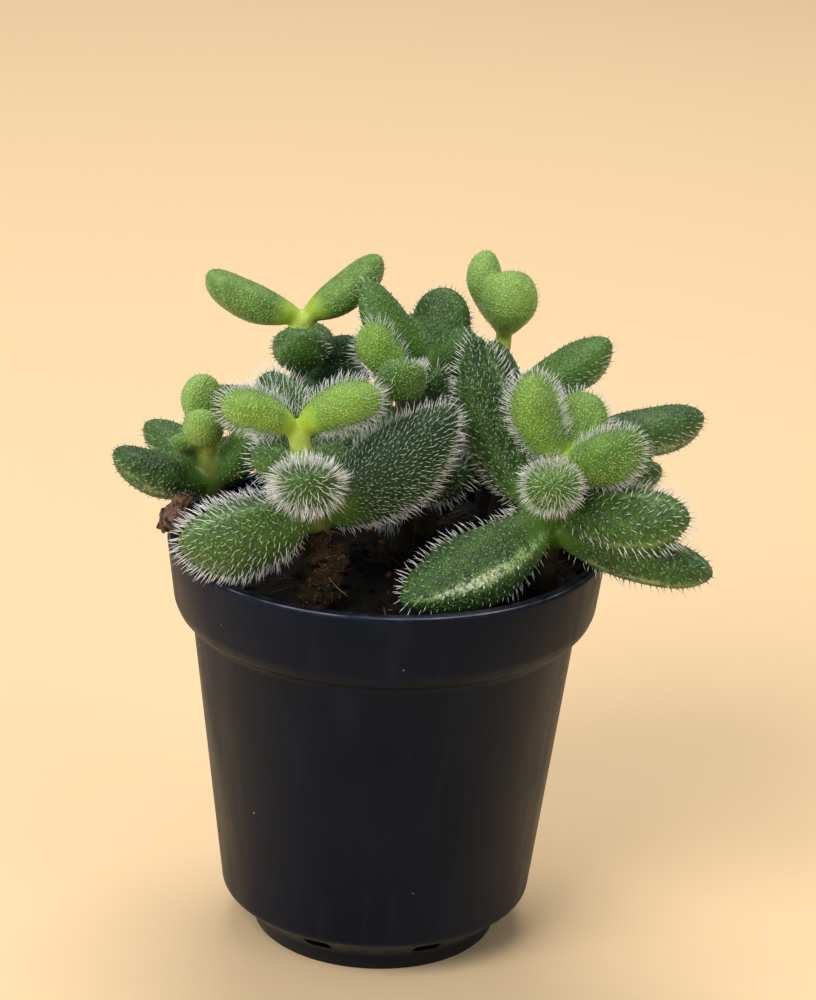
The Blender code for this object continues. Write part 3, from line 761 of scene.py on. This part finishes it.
def bristle_mesh():
    """A bristle of unit length and unit foot radius, with its UV map from foot to point."""
    body = bmesh.new()
    ring = bmesh.ops.create_circle(body, cap_ends=True, segments=BRISTLE_SIDES, radius=1)["verts"]
    bmesh.ops.translate(body, verts=ring, vec=(0, 0, -0.12))
    bmesh.ops.reverse_faces(body, faces=body.faces)
    edges, height, breadth = body.edges[:], -0.12, 1.0
    for high, wide in BRISTLE_RINGS:
        made = bmesh.ops.extrude_edge_only(body, edges=edges)["geom"]
        verts = [item for item in made if isinstance(item, bmesh.types.BMVert)]
        edges = [item for item in made if isinstance(item, bmesh.types.BMEdge)]
        bmesh.ops.translate(body, verts=verts, vec=(0, 0, high - height))
        bmesh.ops.scale(body, verts=verts, vec=(wide / breadth, wide / breadth, 1))
        height, breadth = high, wide
    bmesh.ops.pointmerge(body, verts=verts, merge_co=(0, 0, 1))
    bmesh.ops.recalc_face_normals(body, faces=body.faces)
    strip = body.loops.layers.uv.new("OFBake")
    for face in body.faces:
        for loop in face.loops:
            turn = math.atan2(loop.vert.co.y, loop.vert.co.x) / math.tau
            middle = math.atan2(*reversed(face.calc_center_median().xy)) / math.tau
            turn = 0.5 if loop.vert.co.z > 0.99 else 0.5 + 0.4 * ((turn - middle + 0.5) % 1 - 0.5)
            loop[strip].uv = (turn, 0.02 + 0.96 * max(0.0, loop.vert.co.z))
    return new_mesh("bristle", body)


bristle = bristle_mesh()
bristle_faces = sum(len(face.vertices) - 2 for face in bristle.polygons)
print("one bristle has", bristle_faces, "triangles")

# %% Spots for the bristles
EDGE_BREADTH = 0.3                # how wide the fringe along a leaf's edge is, as an angle
STEM_BRISTLE = (0.6, 0.5, 0.06, 1.3, 1.3)


def unit(vectors):
    return vectors / np.linalg.norm(vectors, axis=1)[:, None]


draws = np.random.default_rng(SEED)


def skin_samples(mesh, count):
    """Random points of a mesh: corners of the face each lies on, their shares, place, normal."""
    mesh.calc_loop_triangles()
    corners = numbers(mesh.loop_triangles, "vertices", int)
    points, normals = points_of(mesh) / MM, numbers(mesh.vertices, "normal")
    one, two, three = (points[corners[:, i]] for i in range(3))
    areas = np.linalg.norm(np.cross(two - one, three - one), axis=1)
    picked = corners[draws.choice(len(corners), count, p=areas / areas.sum())]
    shares = draws.dirichlet((1, 1, 1), count)
    place = (points[picked] * shares[:, :, None]).sum(1)
    return picked, shares, place, unit((normals[picked] * shares[:, :, None]).sum(1))


def spaced(places, reaches):
    """Indices of the places that keep their own reach from the ones kept before them."""
    cell = reaches[np.isfinite(reaches)].max()
    grid, kept = {}, []
    for i, (place, reach) in enumerate(zip(places, reaches)):
        if not np.isfinite(reach):
            continue
        key = tuple(int(c // cell) for c in place)
        near = [j for dx in (-1, 0, 1) for dy in (-1, 0, 1) for dz in (-1, 0, 1)
                for j in grid.get((key[0] + dx, key[1] + dy, key[2] + dz), ())]
        if near and (((places[near] - place) ** 2).sum(1) < reach * reach).any():
            continue
        grid.setdefault(key, []).append(i)
        kept.append(i)
    return np.array(kept)


def bristle_spots(node):
    """Place, direction, length, foot radius and bend of each bristle of a node."""
    kinds = np.array([leaf["bristles"] for leaf in node["leaves"]] + [STEM_BRISTLE])
    area = sum(face.area for face in node["mesh"].polygons) / MM ** 2
    picked, shares, place, normal = skin_samples(node["mesh"], int(area / kinds[:, 4].min() ** 2 * 5))
    parts = (node["weights"][:, picked] * shares[None]).sum(2)
    own = (parts[:, :, None] * kinds[:, None, :]).sum(0)
    along = (node["along"][picked] * shares).sum(1)
    edge = np.exp(-((node["side"][picked] * shares).sum(1) / EDGE_BREADTH) ** 2)
    ridge = np.clip((node["keel"][picked] * shares).sum(1), 0, 1) ** 2
    reach = (own[:, 3] + (own[:, 4] - own[:, 3]) * edge) * (1 + 0.8 * np.clip(0.25 - along, 0, 1))
    reach[place[:, 2] < SOIL_LINE] = np.inf
    kept = spaced(place, reach)
    place, normal, own, along, edge, ridge = (
        item[kept] for item in (place, normal, own, along, edge, ridge))
    forward = parts[-1, kept][:, None] * np.array((0, 0, 0.8))
    for share, leaf in zip(parts[:, kept], node["leaves"]):
        forward = forward + share[:, None] * leaf["turn"][:, 0]
    lean = draws.uniform(0.25, 0.85, (len(place), 1)) * (1 - 0.5 * edge[:, None])
    direction = unit(normal + forward * lean + draws.normal(0, 0.16, place.shape))
    rim = np.maximum(edge, np.clip((along - 0.86) * 5, 0, 1))
    length = own[:, 1] + (own[:, 0] - own[:, 1]) * np.maximum(rim, 0.35 * ridge)
    length *= draws.uniform(0.7, 1.15, len(place)) * np.interp(along, [0, 0.3], [0.6, 1])
    bend = forward * 0.2 + draws.normal(0, 0.11, place.shape)
    foot = own[:, 2] * draws.uniform(0.8, 1.2, len(place)) * (1 + 0.7 * ridge)
    return place, direction, length, foot, bend


area = sum(face.area for node in plan for face in node["mesh"].polygons) / MM ** 2
print("skin for the bristles to cover, in square centimetres:", round(area / 100, 1))

# %% Keep bristles out of other leaves
def plant_tree():
    points, faces = [], []
    for node in plan:
        first = len(points)
        points += [tuple(p) for p in points_of(node["mesh"])]
        faces += [[first + i for i in face.vertices] for face in node["mesh"].polygons]
    return BVHTree.FromPolygons(points, faces)


def cleared(place, direction, length):
    """Lengths cut back where a bristle would run into a leaf."""
    for i, (start, way) in enumerate(zip(place, direction)):
        begin = Vector((start + way * 0.15) * MM)
        hit = tree.ray_cast(begin, Vector(way), length[i] * MM)[3]
        if hit is not None:
            length[i] = min(length[i], 0.75 * hit / MM)
    return length


tree = plant_tree()
print("leaf faces that bristles keep clear of:", sum(len(node["mesh"].polygons) for node in plan))

# %% Copies of one shape
def copied(name, template, count, placed):
    """One mesh of count copies of the template, from an Array modifier. The function placed turns
    the template's x, y and z into places in millimetres, for all the copies at once."""
    obj = node_object(name, template.copy())
    array = obj.modifiers.new("copies", "ARRAY")
    array.count = count
    array.use_relative_offset = False
    array.use_constant_offset = True
    array.constant_offset_displace = (0, 0, 0)
    mesh = evaluated(obj)
    x, y, z = (points_of(template)[:, i][None, :, None] for i in range(3))
    set_points(mesh, placed(x, y, z).reshape(-1, 3) * MM)
    mesh.shade_smooth()
    return mesh


def across(direction):
    """Two unit vectors square to each direction."""
    helper = np.where(np.abs(direction[:, 2:]) < 0.9, [[0, 0, 1.0]], [[1.0, 0, 0]])
    one = unit(np.cross(direction, helper))
    return one, np.cross(direction, one)


print("square to straight up:", *across(np.array([[0, 0, 1.0]])))

# %% Bristle coats
SHORTEST = 0.35                   # millimetres; shorter ones are left off
CLEAR_LENGTH = 1.5                # bristles shorter than this show less of the white


def bristle_coat(name, place, direction, length, foot, bend):
    one, two = across(direction)
    reach, wide = length[:, None, None], foot[:, None, None]
    mesh = copied(name, bristle, len(place), lambda x, y, z: (
        place[:, None] + direction[:, None] * z * reach + bend[:, None] * z * z * reach * np.sign(z)
        + (one[:, None] * x + two[:, None] * y) * wide))
    uvs = mesh.uv_layers["OFBake"].uv
    strip = np.empty(len(uvs) * 2)
    uvs.foreach_get("vector", strip)
    strip = strip.reshape(len(place), -1, 2)
    strip[:, :, 1] *= np.clip(length / CLEAR_LENGTH, 0.3, 1)[:, None]
    uvs.foreach_set("vector", strip.ravel())
    return mesh


total = 0
for node in plan:
    place, direction, length, foot, bend = bristle_spots(node)
    length = cleared(place, direction, length)
    keep = length > SHORTEST
    rows = [item[keep] for item in (place, direction, length, foot, bend)]
    finish = young_bristle if node["young"] else green_bristle
    place_piece(f"{node['name']}_bristles", bristle_coat(node["name"], *rows), finish, node["slot"])
    total += keep.sum()
print(total, "bristles,", total * bristle_faces, "triangles")

# %% [markdown]
# ## Tuft
# Between the young leaves of the front right stem, a tuft of tan hairs shows where its next
# leaves will come. Hairs could be set one by one. Rays from the front that stop at the skin
# are quicker, and put every hair's foot on it.

# %% Tuft between the young leaves
TUFT_PLACE, TUFT_HAIRS = (20.5, -12, 70.2), 90
INWARD = Vector((0, 0.932, -0.362))     # the way to the skin: from the front, a little downwards
SKIN_FRONT = -5                   # a hair that would land farther back than this is left off


def tuft():
    place = np.array(TUFT_PLACE) + draws.normal(0, 1, (TUFT_HAIRS, 3)) * (0.9, 0, 0.45)
    hits = [tree.ray_cast(Vector(spot) * MM - INWARD * 40 * MM, INWARD)[0] for spot in place]
    place = np.array([hit for hit in hits if hit is not None]) / MM
    place = place[place[:, 1] < SKIN_FRONT]
    count = len(place)
    direction = unit(draws.normal(0, 0.45, (count, 3)) + (0, -0.6, 1))
    return bristle_coat("tuft", place, direction, draws.uniform(0.7, 1.3, count), np.full(count, 0.08),
                        draws.normal(0, 0.15, (count, 3)))


place_piece("tuft_front_right", tuft(), tan_bristle, "leaf_young")
print("tuft of up to", TUFT_HAIRS, "hairs placed")

# %% [markdown]
# ## Pot
# The pot is one thin wall of black plastic, moulded as a turned shape: a half-section with a lip,
# a band, a shoulder, a tapered body and a stepped foot. Spinning that section round the axis
# makes it, and bevels on the corners catch the light as moulded edges do.

# %% Pot section
FLOOR = 1.2
POT_SECTION = [(0, FLOOR), (15.15, FLOOR), (15.85, 3.45), (19.55, 6.5), (24.15, 44.4), (26.55, 47.1),
               (27.4, 53.1), (26.8, 53.8), (26.8, 54.7), (27.1, 55), (28.1, 55), (28.5, 54.6),
               (27.5, 46.6), (26.9, 45.2), (25.1, 43.9), (20.5, 5.8), (16.8, 2.5), (16.1, 0.25),
               (15.85, 0), (0, 0)]
POT_STEPS = 144
ROUNDED = {8: 0.12, 9: 0.12, 10: 0.3, 11: 0.3, 12: 0.35, 13: 0.4, 14: 0.7, 15: 0.5, 16: 0.4}


def turned(section, steps, rounded):
    """A closed mesh spun round Z from a half-section in millimetres, some corners rounded."""
    body = bmesh.new()
    points = [body.verts.new((r * MM, 0, z * MM)) for r, z in section]
    line = [body.edges.new(pair) for pair in zip(points, points[1:])]
    bmesh.ops.spin(body, geom=points + line, axis=(0, 0, 1), cent=(0, 0, 0), steps=steps,
                   angle=math.tau, use_merge=True)
    bmesh.ops.remove_doubles(body, verts=body.verts, dist=1e-6)
    bmesh.ops.recalc_face_normals(body, faces=body.faces)
    for corner, radius in rounded.items():
        r, z = section[corner][0] * MM, section[corner][1] * MM
        ring = [edge for edge in body.edges
                if all(abs(v.co.z - z) < 1e-6 and abs(v.co.xy.length - r) < 1e-6 for v in edge.verts)]
        bmesh.ops.bevel(body, geom=ring, offset=radius * MM, offset_type="OFFSET", segments=3,
                        profile=0.5, affect="EDGES", material=-1, clamp_overlap=True)
    bmesh.ops.remove_doubles(body, verts=body.verts, dist=3e-6)
    return body


pot_mesh = new_mesh("pot_fine", turned(POT_SECTION, POT_STEPS, ROUNDED))
print("pot has", len(pot_mesh.polygons), "faces before its holes")

# %% Drain holes
DRAINS = 8
DRAIN = (6.0, 3.6, 1.7)           # the size of each one's cutter
DRAIN_PLACE = (18.65, 0, 4.15)    # its middle, on the slope of the foot


def drain_cutters():
    body = bmesh.new()
    for i in range(DRAINS):
        made = bmesh.ops.create_cube(body, size=1)["verts"]
        bmesh.ops.scale(body, verts=made, vec=[side * MM for side in DRAIN])
        upright = [e for e in {e for v in made for e in v.link_edges}
                   if abs(e.verts[0].co.x - e.verts[1].co.x) > 1e-4]
        made = bmesh.ops.bevel(body, geom=upright, offset=0.5 * MM, segments=3, profile=0.5,
                               affect="EDGES", material=-1)["verts"]
        island = {v for v in body.verts if v.co.xy.length < 8 * MM}
        bmesh.ops.translate(body, verts=list(island), vec=Vector(DRAIN_PLACE) * MM)
        turn = Matrix.Rotation((i + 0.5) * math.tau / DRAINS, 3, "Z")
        bmesh.ops.rotate(body, verts=list(island), matrix=turn, cent=(0, 0, 0))
    return node_object("drain_cutters", new_mesh("drain_cutters", body))


cutters = drain_cutters()
pot_object = node_object("pot_with_holes", pot_mesh)
holes = pot_object.modifiers.new("drain holes", "BOOLEAN")
holes.operation, holes.object, holes.solver = "DIFFERENCE", cutters, "EXACT"
pot_mesh = evaluated(pot_object)
bpy.data.objects.remove(cutters, do_unlink=True)
pot_mesh.shade_smooth()
pot_mesh.set_sharp_from_angle(angle=math.radians(50))
print("pot has", len(pot_mesh.polygons), "faces")

# %% [markdown]
# ## Black plastic
# Nursery pots are satin black with a bluish cast. Up close they show a very fine grain, faint
# streaks from the mould and a few pale specks of dust. The top of the lip is lighter in patches,
# and a thin painted highlight runs along its outer edge. A painted picture could hold all that,
# but noise that reads Object coordinates has no seams and any sharpness.

# %% Pot material
def pot_material():
    material, shader = new_material("black pot plastic", {
        "Specular IOR Level": 0.15, "Specular Tint": (0.46, 0.64, 1.0, 1)})
    tree = material.node_tree
    place = add(tree, "TexCoord")["Object"]
    streak = sized_noise(add(tree, "Mapping", {"Vector": place, "Scale": (1, 1, 0.12)})[0], 3.0, 3.0)
    cloud = sized_noise(place, 14.0, 3.0)
    grain = sized_noise(place, 0.25)
    colour = mix(remap(cloud, 0.3, 0.7), rgb(12, 15, 25), rgb(18, 21, 33))
    colour = mix(remap(streak, 0.52, 0.75) * 0.35, colour, rgb(30, 33, 44))
    dust = add(tree, "TexVoronoi", {"Vector": place, "Scale": 1 / (2.6 * MM)})
    rare = add(tree, "SeparateColor", {0: dust["Color"]})[0]
    fleck = remap(dust["Distance"], 0.075, 0.03) * sums("GREATER_THAN", rare, 0.86)
    colour = mix(fleck * 0.75, colour, rgb(176, 178, 182))
    high = add(tree, "SeparateXYZ", {0: place})[2]
    # the top of the lip is lighter in patches
    lip = remap(high, 54.4 * MM, 55 * MM) * remap(sized_noise(place, 1.6, 4.0, 0.65), 0.42, 0.68)
    colour = mix(lip * 0.2, colour, rgb(72, 76, 84))
    flat = add(tree, "VectorMath", {0: place, 1: (1, 1, 0)}, operation="MULTIPLY")[0]
    radius = add(tree, "VectorMath", {0: flat}, operation="LENGTH")["Value"]
    # painted highlight: a thin pale line along the lip's outer edge
    painted_rim_highlight = remap(radius, 28.08 * MM, 28.16 * MM) * remap(radius, 28.32 * MM, 28.24 * MM)
    painted_rim_highlight = painted_rim_highlight * remap(high, 54.6 * MM, 54.8 * MM)
    painted_rim_highlight = painted_rim_highlight * remap(sized_noise(place, 9.0, 3.0), 0.42, 0.62, 0.1, 1.0)
    colour = mix(painted_rim_highlight * 0.6, colour, rgb(168, 158, 156))
    rough = remap(cloud, 0.25, 0.75, 0.36, 0.46) + remap(streak, 0.4, 0.7) * 0.08
    wire(shader, colour, rough, grain + streak * 0.8, 0.03, 0.6)
    return material


place_piece("pot_moulding", pot_mesh, pot_material(), "pot_plastic", "pot")
print("pot placed")

# %% [markdown]
# ## Soil
# Potting mix is peat, fine roots and bits of bark. The CAD solid already has its lumps, clumps
# and stem holes, so its top is copied, cut off as a slab, and remeshed finely. Crumbs are pushed
# out of it with noise. The lower part stays coarse, because only the drain holes show it.

# %% Soil skin
SOIL_CUT = 47.0                   # the height of the cut; crumbs start CALM above it
CALM = 2.0
SOIL_VOXEL = 0.42
PUSH_LIMIT = 0.7                  # no crumb stands out farther than this


def soil_copy():
    body = bmesh.new()
    body.from_mesh(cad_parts["soil"].data)
    body.transform(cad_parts["soil"].matrix_world)
    bmesh.ops.remove_doubles(body, verts=body.verts, dist=1e-7)
    return body


def cut_soil(keep_top):
    body = soil_copy()
    made = bmesh.ops.bisect_plane(body, geom=body.verts[:] + body.edges[:] + body.faces[:],
                                  plane_co=(0, 0, SOIL_CUT * MM), plane_no=(0, 0, 1),
                                  clear_inner=keep_top, clear_outer=not keep_top)
    edges = [item for item in made["geom_cut"] if isinstance(item, bmesh.types.BMEdge)]
    bmesh.ops.triangle_fill(body, edges=edges, use_beauty=True)
    bmesh.ops.recalc_face_normals(body, faces=body.faces)
    return new_mesh("soil_part", body)


def crumbled(mesh, force=1.0):
    """Pushes the soil's skin in and out along its normals, in crumbs of several sizes."""
    points, normals = points_of(mesh), numbers(mesh.vertices, "normal")
    moved = points.copy()
    for i, (point, normal) in enumerate(zip(points, normals)):
        if point[2] < (SOIL_CUT + CALM) * MM:
            continue
        spot = Vector(point / MM)
        big = noise.noise(spot * 0.45) * 0.45
        crumb = noise.voronoi(spot * 0.75)[0]
        small = noise.fractal(spot * 1.9, 0.7, 2.0, 3) * 0.28
        push = big + (0.5 - crumb[0]) * 0.9 + small
        moved[i] += normal * min(PUSH_LIMIT, push) * force * MM
    set_points(mesh, moved)
    return mesh


soil_top = crumbled(remeshed("soil_top", cut_soil(True), SOIL_VOXEL))
soil_mesh = joined("soil_fine", [soil_top, cut_soil(False)])
soil_mesh.shade_smooth()
print("soil has", sum(len(face.vertices) - 2 for face in soil_mesh.polygons), "triangles")

# %% [markdown]
# ## Earth colours
# Damp peat is nearly black, with brown fibres and a few rusty or pale bits. The same group
# colours the soil's skin, the loose crumbs and the fibres, with other browns for each.

# %% Earth group and materials
def earth_nodes(tree, given):
    place = add(tree, "TexCoord")["Object"]
    damp = sized_noise(place, 4.0, 4.0, 0.6)
    crumb = sized_noise(place, 0.7, 5.0, 0.7)
    shaken = {"Vector": place, "Scale": (1.0, 1.5, 0.8), "Rotation": (0.5, 0.7, 0.3)}
    bits = add(tree, "TexVoronoi", {"Vector": add(tree, "Mapping", shaken)[0],
                                    "Scale": 1 / (0.5 * MM), "Detail": 2.0})
    chance = add(tree, "SeparateColor", {0: bits["Color"]})[1]
    colour = mix(remap(damp + crumb * 0.6, 0.6, 1.1), given["Damp"], given["Dry"])
    fleck = remap(bits["Distance"], 0.4, 0.2) * remap(chance, 0.72, 0.9)
    colour = mix(fleck * given["Amount"], colour, given["Bits"])
    high = add(tree, "SeparateXYZ", {0: place})[2]
    dried = remap(high, 54.5 * MM, 57.5 * MM) * remap(crumb, 0.35, 0.65)
    colour = mix(dried * 0.75, colour, given["Dried"])
    return colour, remap(damp, 0.3, 0.7, 0.7, 0.95), crumb + fleck * 0.5


EARTH = {"Damp": rgb(18, 13, 9), "Dry": rgb(60, 42, 28), "Bits": rgb(120, 84, 56),
         "Dried": rgb(140, 104, 84), "Amount": 0.4}
earth = new_group("earth", EARTH, ("Colour", "Roughness", "Height"), earth_nodes)
peat, fibrous, bark, root, golden = (
    group_material(name, {"Specular IOR Level": 0.25}, earth, dict(zip(EARTH, (
        *(rgb(*colour) for colour in colours), amount))), relief)
    for name, colours, amount, relief in (
        ("damp peat", ((10, 8, 7), (40, 28, 20), (110, 74, 54), (150, 112, 92)), 0.45, 0.25),
        ("fibrous peat", ((14, 10, 6), (52, 38, 20), (166, 122, 60), (72, 50, 26)), 1.0, 0.5),
        ("bark crumbs", ((58, 38, 24), (122, 86, 58), (178, 140, 108), (150, 112, 92)), 0.5, 0.12),
        ("dry roots", ((92, 66, 42), (150, 116, 80), (190, 160, 124), (150, 112, 92)), 0.4, 0.08),
        ("golden grit", ((54, 38, 20), (110, 80, 42), (176, 136, 80), (90, 66, 40)), 0.4, 0.1)))
place_piece("soil_surface", soil_mesh, peat, "potting_soil", "soil")
print("soil placed")

# %% [markdown]
# ## Loose crumbs and roots
# Crumbs of peat, bits of bark and dry roots lie loose on the soil, and a small clump of earth,
# fine roots and golden grit clings to the front left stem. A particle system could strew them,
# but only real faces can be exported. So an Array modifier copies one crumb or one root, and a
# seeded rule lays each copy on a random spot of the soil that no leaf or stem touches.

# %% Root clump at the front stem
# The middle and the radius of each of its lumps, in millimetres.
CLUMP = [((-8.8, -16.5, 52.4), 2.0), ((-7.6, -17, 53.2), 1.7), ((-8.2, -16.8, 54.6), 1.4),
         ((-7, -16.8, 55.4), 1.5), ((-6.4, -16.2, 57.2), 1.3), ((-7.4, -15.9, 58.2), 1.2),
         ((-5.8, -15.8, 59), 1.0), ((-8.6, -15.4, 60), 1.3), ((-8.4, -15.2, 57.6), 1.5)]


def clump_mesh():
    lumps = []
    for place, radius in CLUMP:
        body = bmesh.new()
        bmesh.ops.create_icosphere(body, subdivisions=3, radius=radius * MM)
        bmesh.ops.translate(body, verts=body.verts, vec=Vector(place) * MM)
        lumps.append(new_mesh("lump", body))
    return crumbled(remeshed("clump", joined("clump", lumps), 0.6 * SOIL_VOXEL), 1.5)


clump = clump_mesh()
clump.shade_smooth()
print("root clump has", len(clump.polygons), "faces")

# %% Crumbs and roots on the soil
CRUMBS, BARK_BITS, ROOTS, FINE_ROOTS, GRIT = 260, 170, 80, 40, 120
SURFACE, FARTHEST = 49.5, 31      # spots lie above this height and nearer the pot's axis
CLEAR = 1.0                       # and this far from every stem and leaf


def crumb_mesh(flat):
    body = bmesh.new()
    bmesh.ops.create_icosphere(body, subdivisions=2, radius=1)
    for vertex in body.verts:
        vertex.co *= 1 + 0.35 * noise.noise(vertex.co * 1.3 + Vector((flat * 7, 0, 0)))
    bmesh.ops.scale(body, verts=body.verts, vec=(1, 0.75, flat))
    return new_mesh("crumb", body)


def root_mesh():
    """A thin straight rod of unit length and radius, in eight bands, ready to be bent."""
    body = bmesh.new()
    bmesh.ops.create_cone(body, cap_ends=True, segments=4, radius1=1, radius2=0.4, depth=1)
    sides = [e for e in body.edges if abs(e.verts[0].co.z - e.verts[1].co.z) > 0.5]
    bmesh.ops.subdivide_edges(body, edges=sides, cuts=7)
    bmesh.ops.translate(body, verts=body.verts, vec=(0, 0, 0.5))
    return new_mesh("root", body)


def soil_spots(mesh, count, least):
    """Places and normals on the top of a soil mesh that no stem or leaf touches."""
    _, _, place, normal = skin_samples(mesh, count * 12)
    good = (place[:, 2] > SURFACE) & (normal[:, 2] > least)
    good &= np.linalg.norm(place[:, :2], axis=1) < FARTHEST
    place, normal = place[good], normal[good]
    free = [tree.find_nearest(Vector(p) * MM, CLEAR * MM)[0] is None for p in place]
    return place[free][:count], normal[free][:count]


def scattered(name, flat, count, sizes, ground=soil_mesh, least=0.25):
    """Crumbs on the ground, turned at random."""
    place, normal = soil_spots(ground, count, least)
    count = len(place)
    way = unit(normal + draws.normal(0, 0.6, normal.shape))
    one, two = across(way)
    angle = draws.uniform(0, math.tau, (count, 1))
    one, two = one * np.cos(angle) + two * np.sin(angle), two * np.cos(angle) - one * np.sin(angle)
    size = (sizes[0] + (sizes[1] - sizes[0]) * draws.random(count) ** 2)[:, None, None]
    return copied(name, crumb_mesh(flat), count, lambda x, y, z: (
        place[:, None] + (one[:, None] * x + two[:, None] * y + way[:, None] * z) * size))


def scattered_roots(name, count, lengths, girths, ground=soil_mesh, least=0.25):
    """Roots that lie on the ground, each in a slow wave and a low arch."""
    place, normal = soil_spots(ground, count, least)
    count = len(place)
    side, other = across(normal)
    angle = draws.uniform(0, math.tau, (count, 1))
    way = side * np.cos(angle) + other * np.sin(angle)
    cross = np.cross(normal, way)
    length, thick = (draws.uniform(*reach, count)[:, None, None] for reach in (lengths, girths))
    swing = draws.normal(0, 0.16, (count, 1, 1)) * length
    arch = draws.uniform(0.02, 0.14, (count, 1, 1)) * length
    return copied(name, root_mesh(), count, lambda x, y, z: (
        place[:, None] + way[:, None] * (z - 0.5) * length
        + cross[:, None] * (np.sin(z * 5) * swing + x * thick)
        + normal[:, None] * (np.sin(z * math.pi) * arch - 0.1 + y * thick)))


place_piece("root_clump", clump, fibrous, "potting_soil")
for name, maker, finish, values in (
        ("soil_crumbs", scattered, peat, (0.7, CRUMBS, (0.35, 1.0))),
        ("bark_bits", scattered, bark, (0.45, BARK_BITS, (0.25, 0.8))),
        ("dry_roots", scattered_roots, root, (ROOTS, (2.5, 7), (0.07, 0.15))),
        ("clump_roots", scattered_roots, bark, (FINE_ROOTS, (0.8, 2.2), (0.03, 0.06), clump, -0.6)),
        ("clump_grit", scattered, golden, (0.6, GRIT, (0.06, 0.22), clump, -0.6))):
    place_piece(name, maker(name, *values), finish, "potting_soil")
print("crumbs and roots placed")

# %% [markdown]
# ## Floor and light
# A plain floor in the photograph's pale warm tone, one large soft light from the upper left,
# one from above, weaker ones from the left and right, and an even light from all round. A
# picture of a studio could light the object too, but area lights are easier to move and judge.

# %% Floor
material, shader = new_material("warm floor", {"Specular IOR Level": 0.1, "Roughness": 0.9})
cloud = sized_noise(add(material.node_tree, "TexCoord")["Object"], 300.0)
wire(shader, mix(cloud, rgb(250, 215, 167), rgb(252, 219, 172)))
body = bmesh.new()
bmesh.ops.create_circle(body, cap_ends=True, segments=96, radius=6)
floor = node_object("floor", new_mesh("floor", body))
floor.data.materials.append(material)
print("floor placed")

# %% Lights
MIDDLE = Vector((0, 0, 0.06))     # the lights face the plant's middle
for name, place, size, watts, tint in (
        ("key light", (-0.45, -0.6, 0.7), 0.6, 6.0, (1, 0.99, 0.97)),
        ("top light", (0.0, 0.35, 0.95), 0.6, 5.4, (1, 0.99, 0.97)),
        ("left light", (-0.75, -0.2, 0.12), 0.3, 1.6, (0.5, 0.7, 1)),
        ("side light", (0.7, -0.5, 0.35), 0.4, 1.4, (0.88, 0.94, 1))):
    data = bpy.data.lights.new(name, "AREA")
    data.shape, data.size, data.energy, data.color = "DISK", size, watts, tint
    light = bpy.data.objects.new(name, data)
    light.location = place
    light.rotation_euler = (MIDDLE - Vector(place)).to_track_quat("-Z", "Y").to_euler()
    bpy.context.scene.collection.objects.link(light)
world = bpy.data.worlds.new("studio")
world.use_nodes = True
sky = world.node_tree.nodes["Background"].inputs
sky["Color"].default_value = (0.9, 0.95, 1.0, 1)
sky["Strength"].default_value = 0.28
bpy.context.scene.world = world
bpy.context.scene.view_settings.view_transform = "Standard"
print("lights placed")
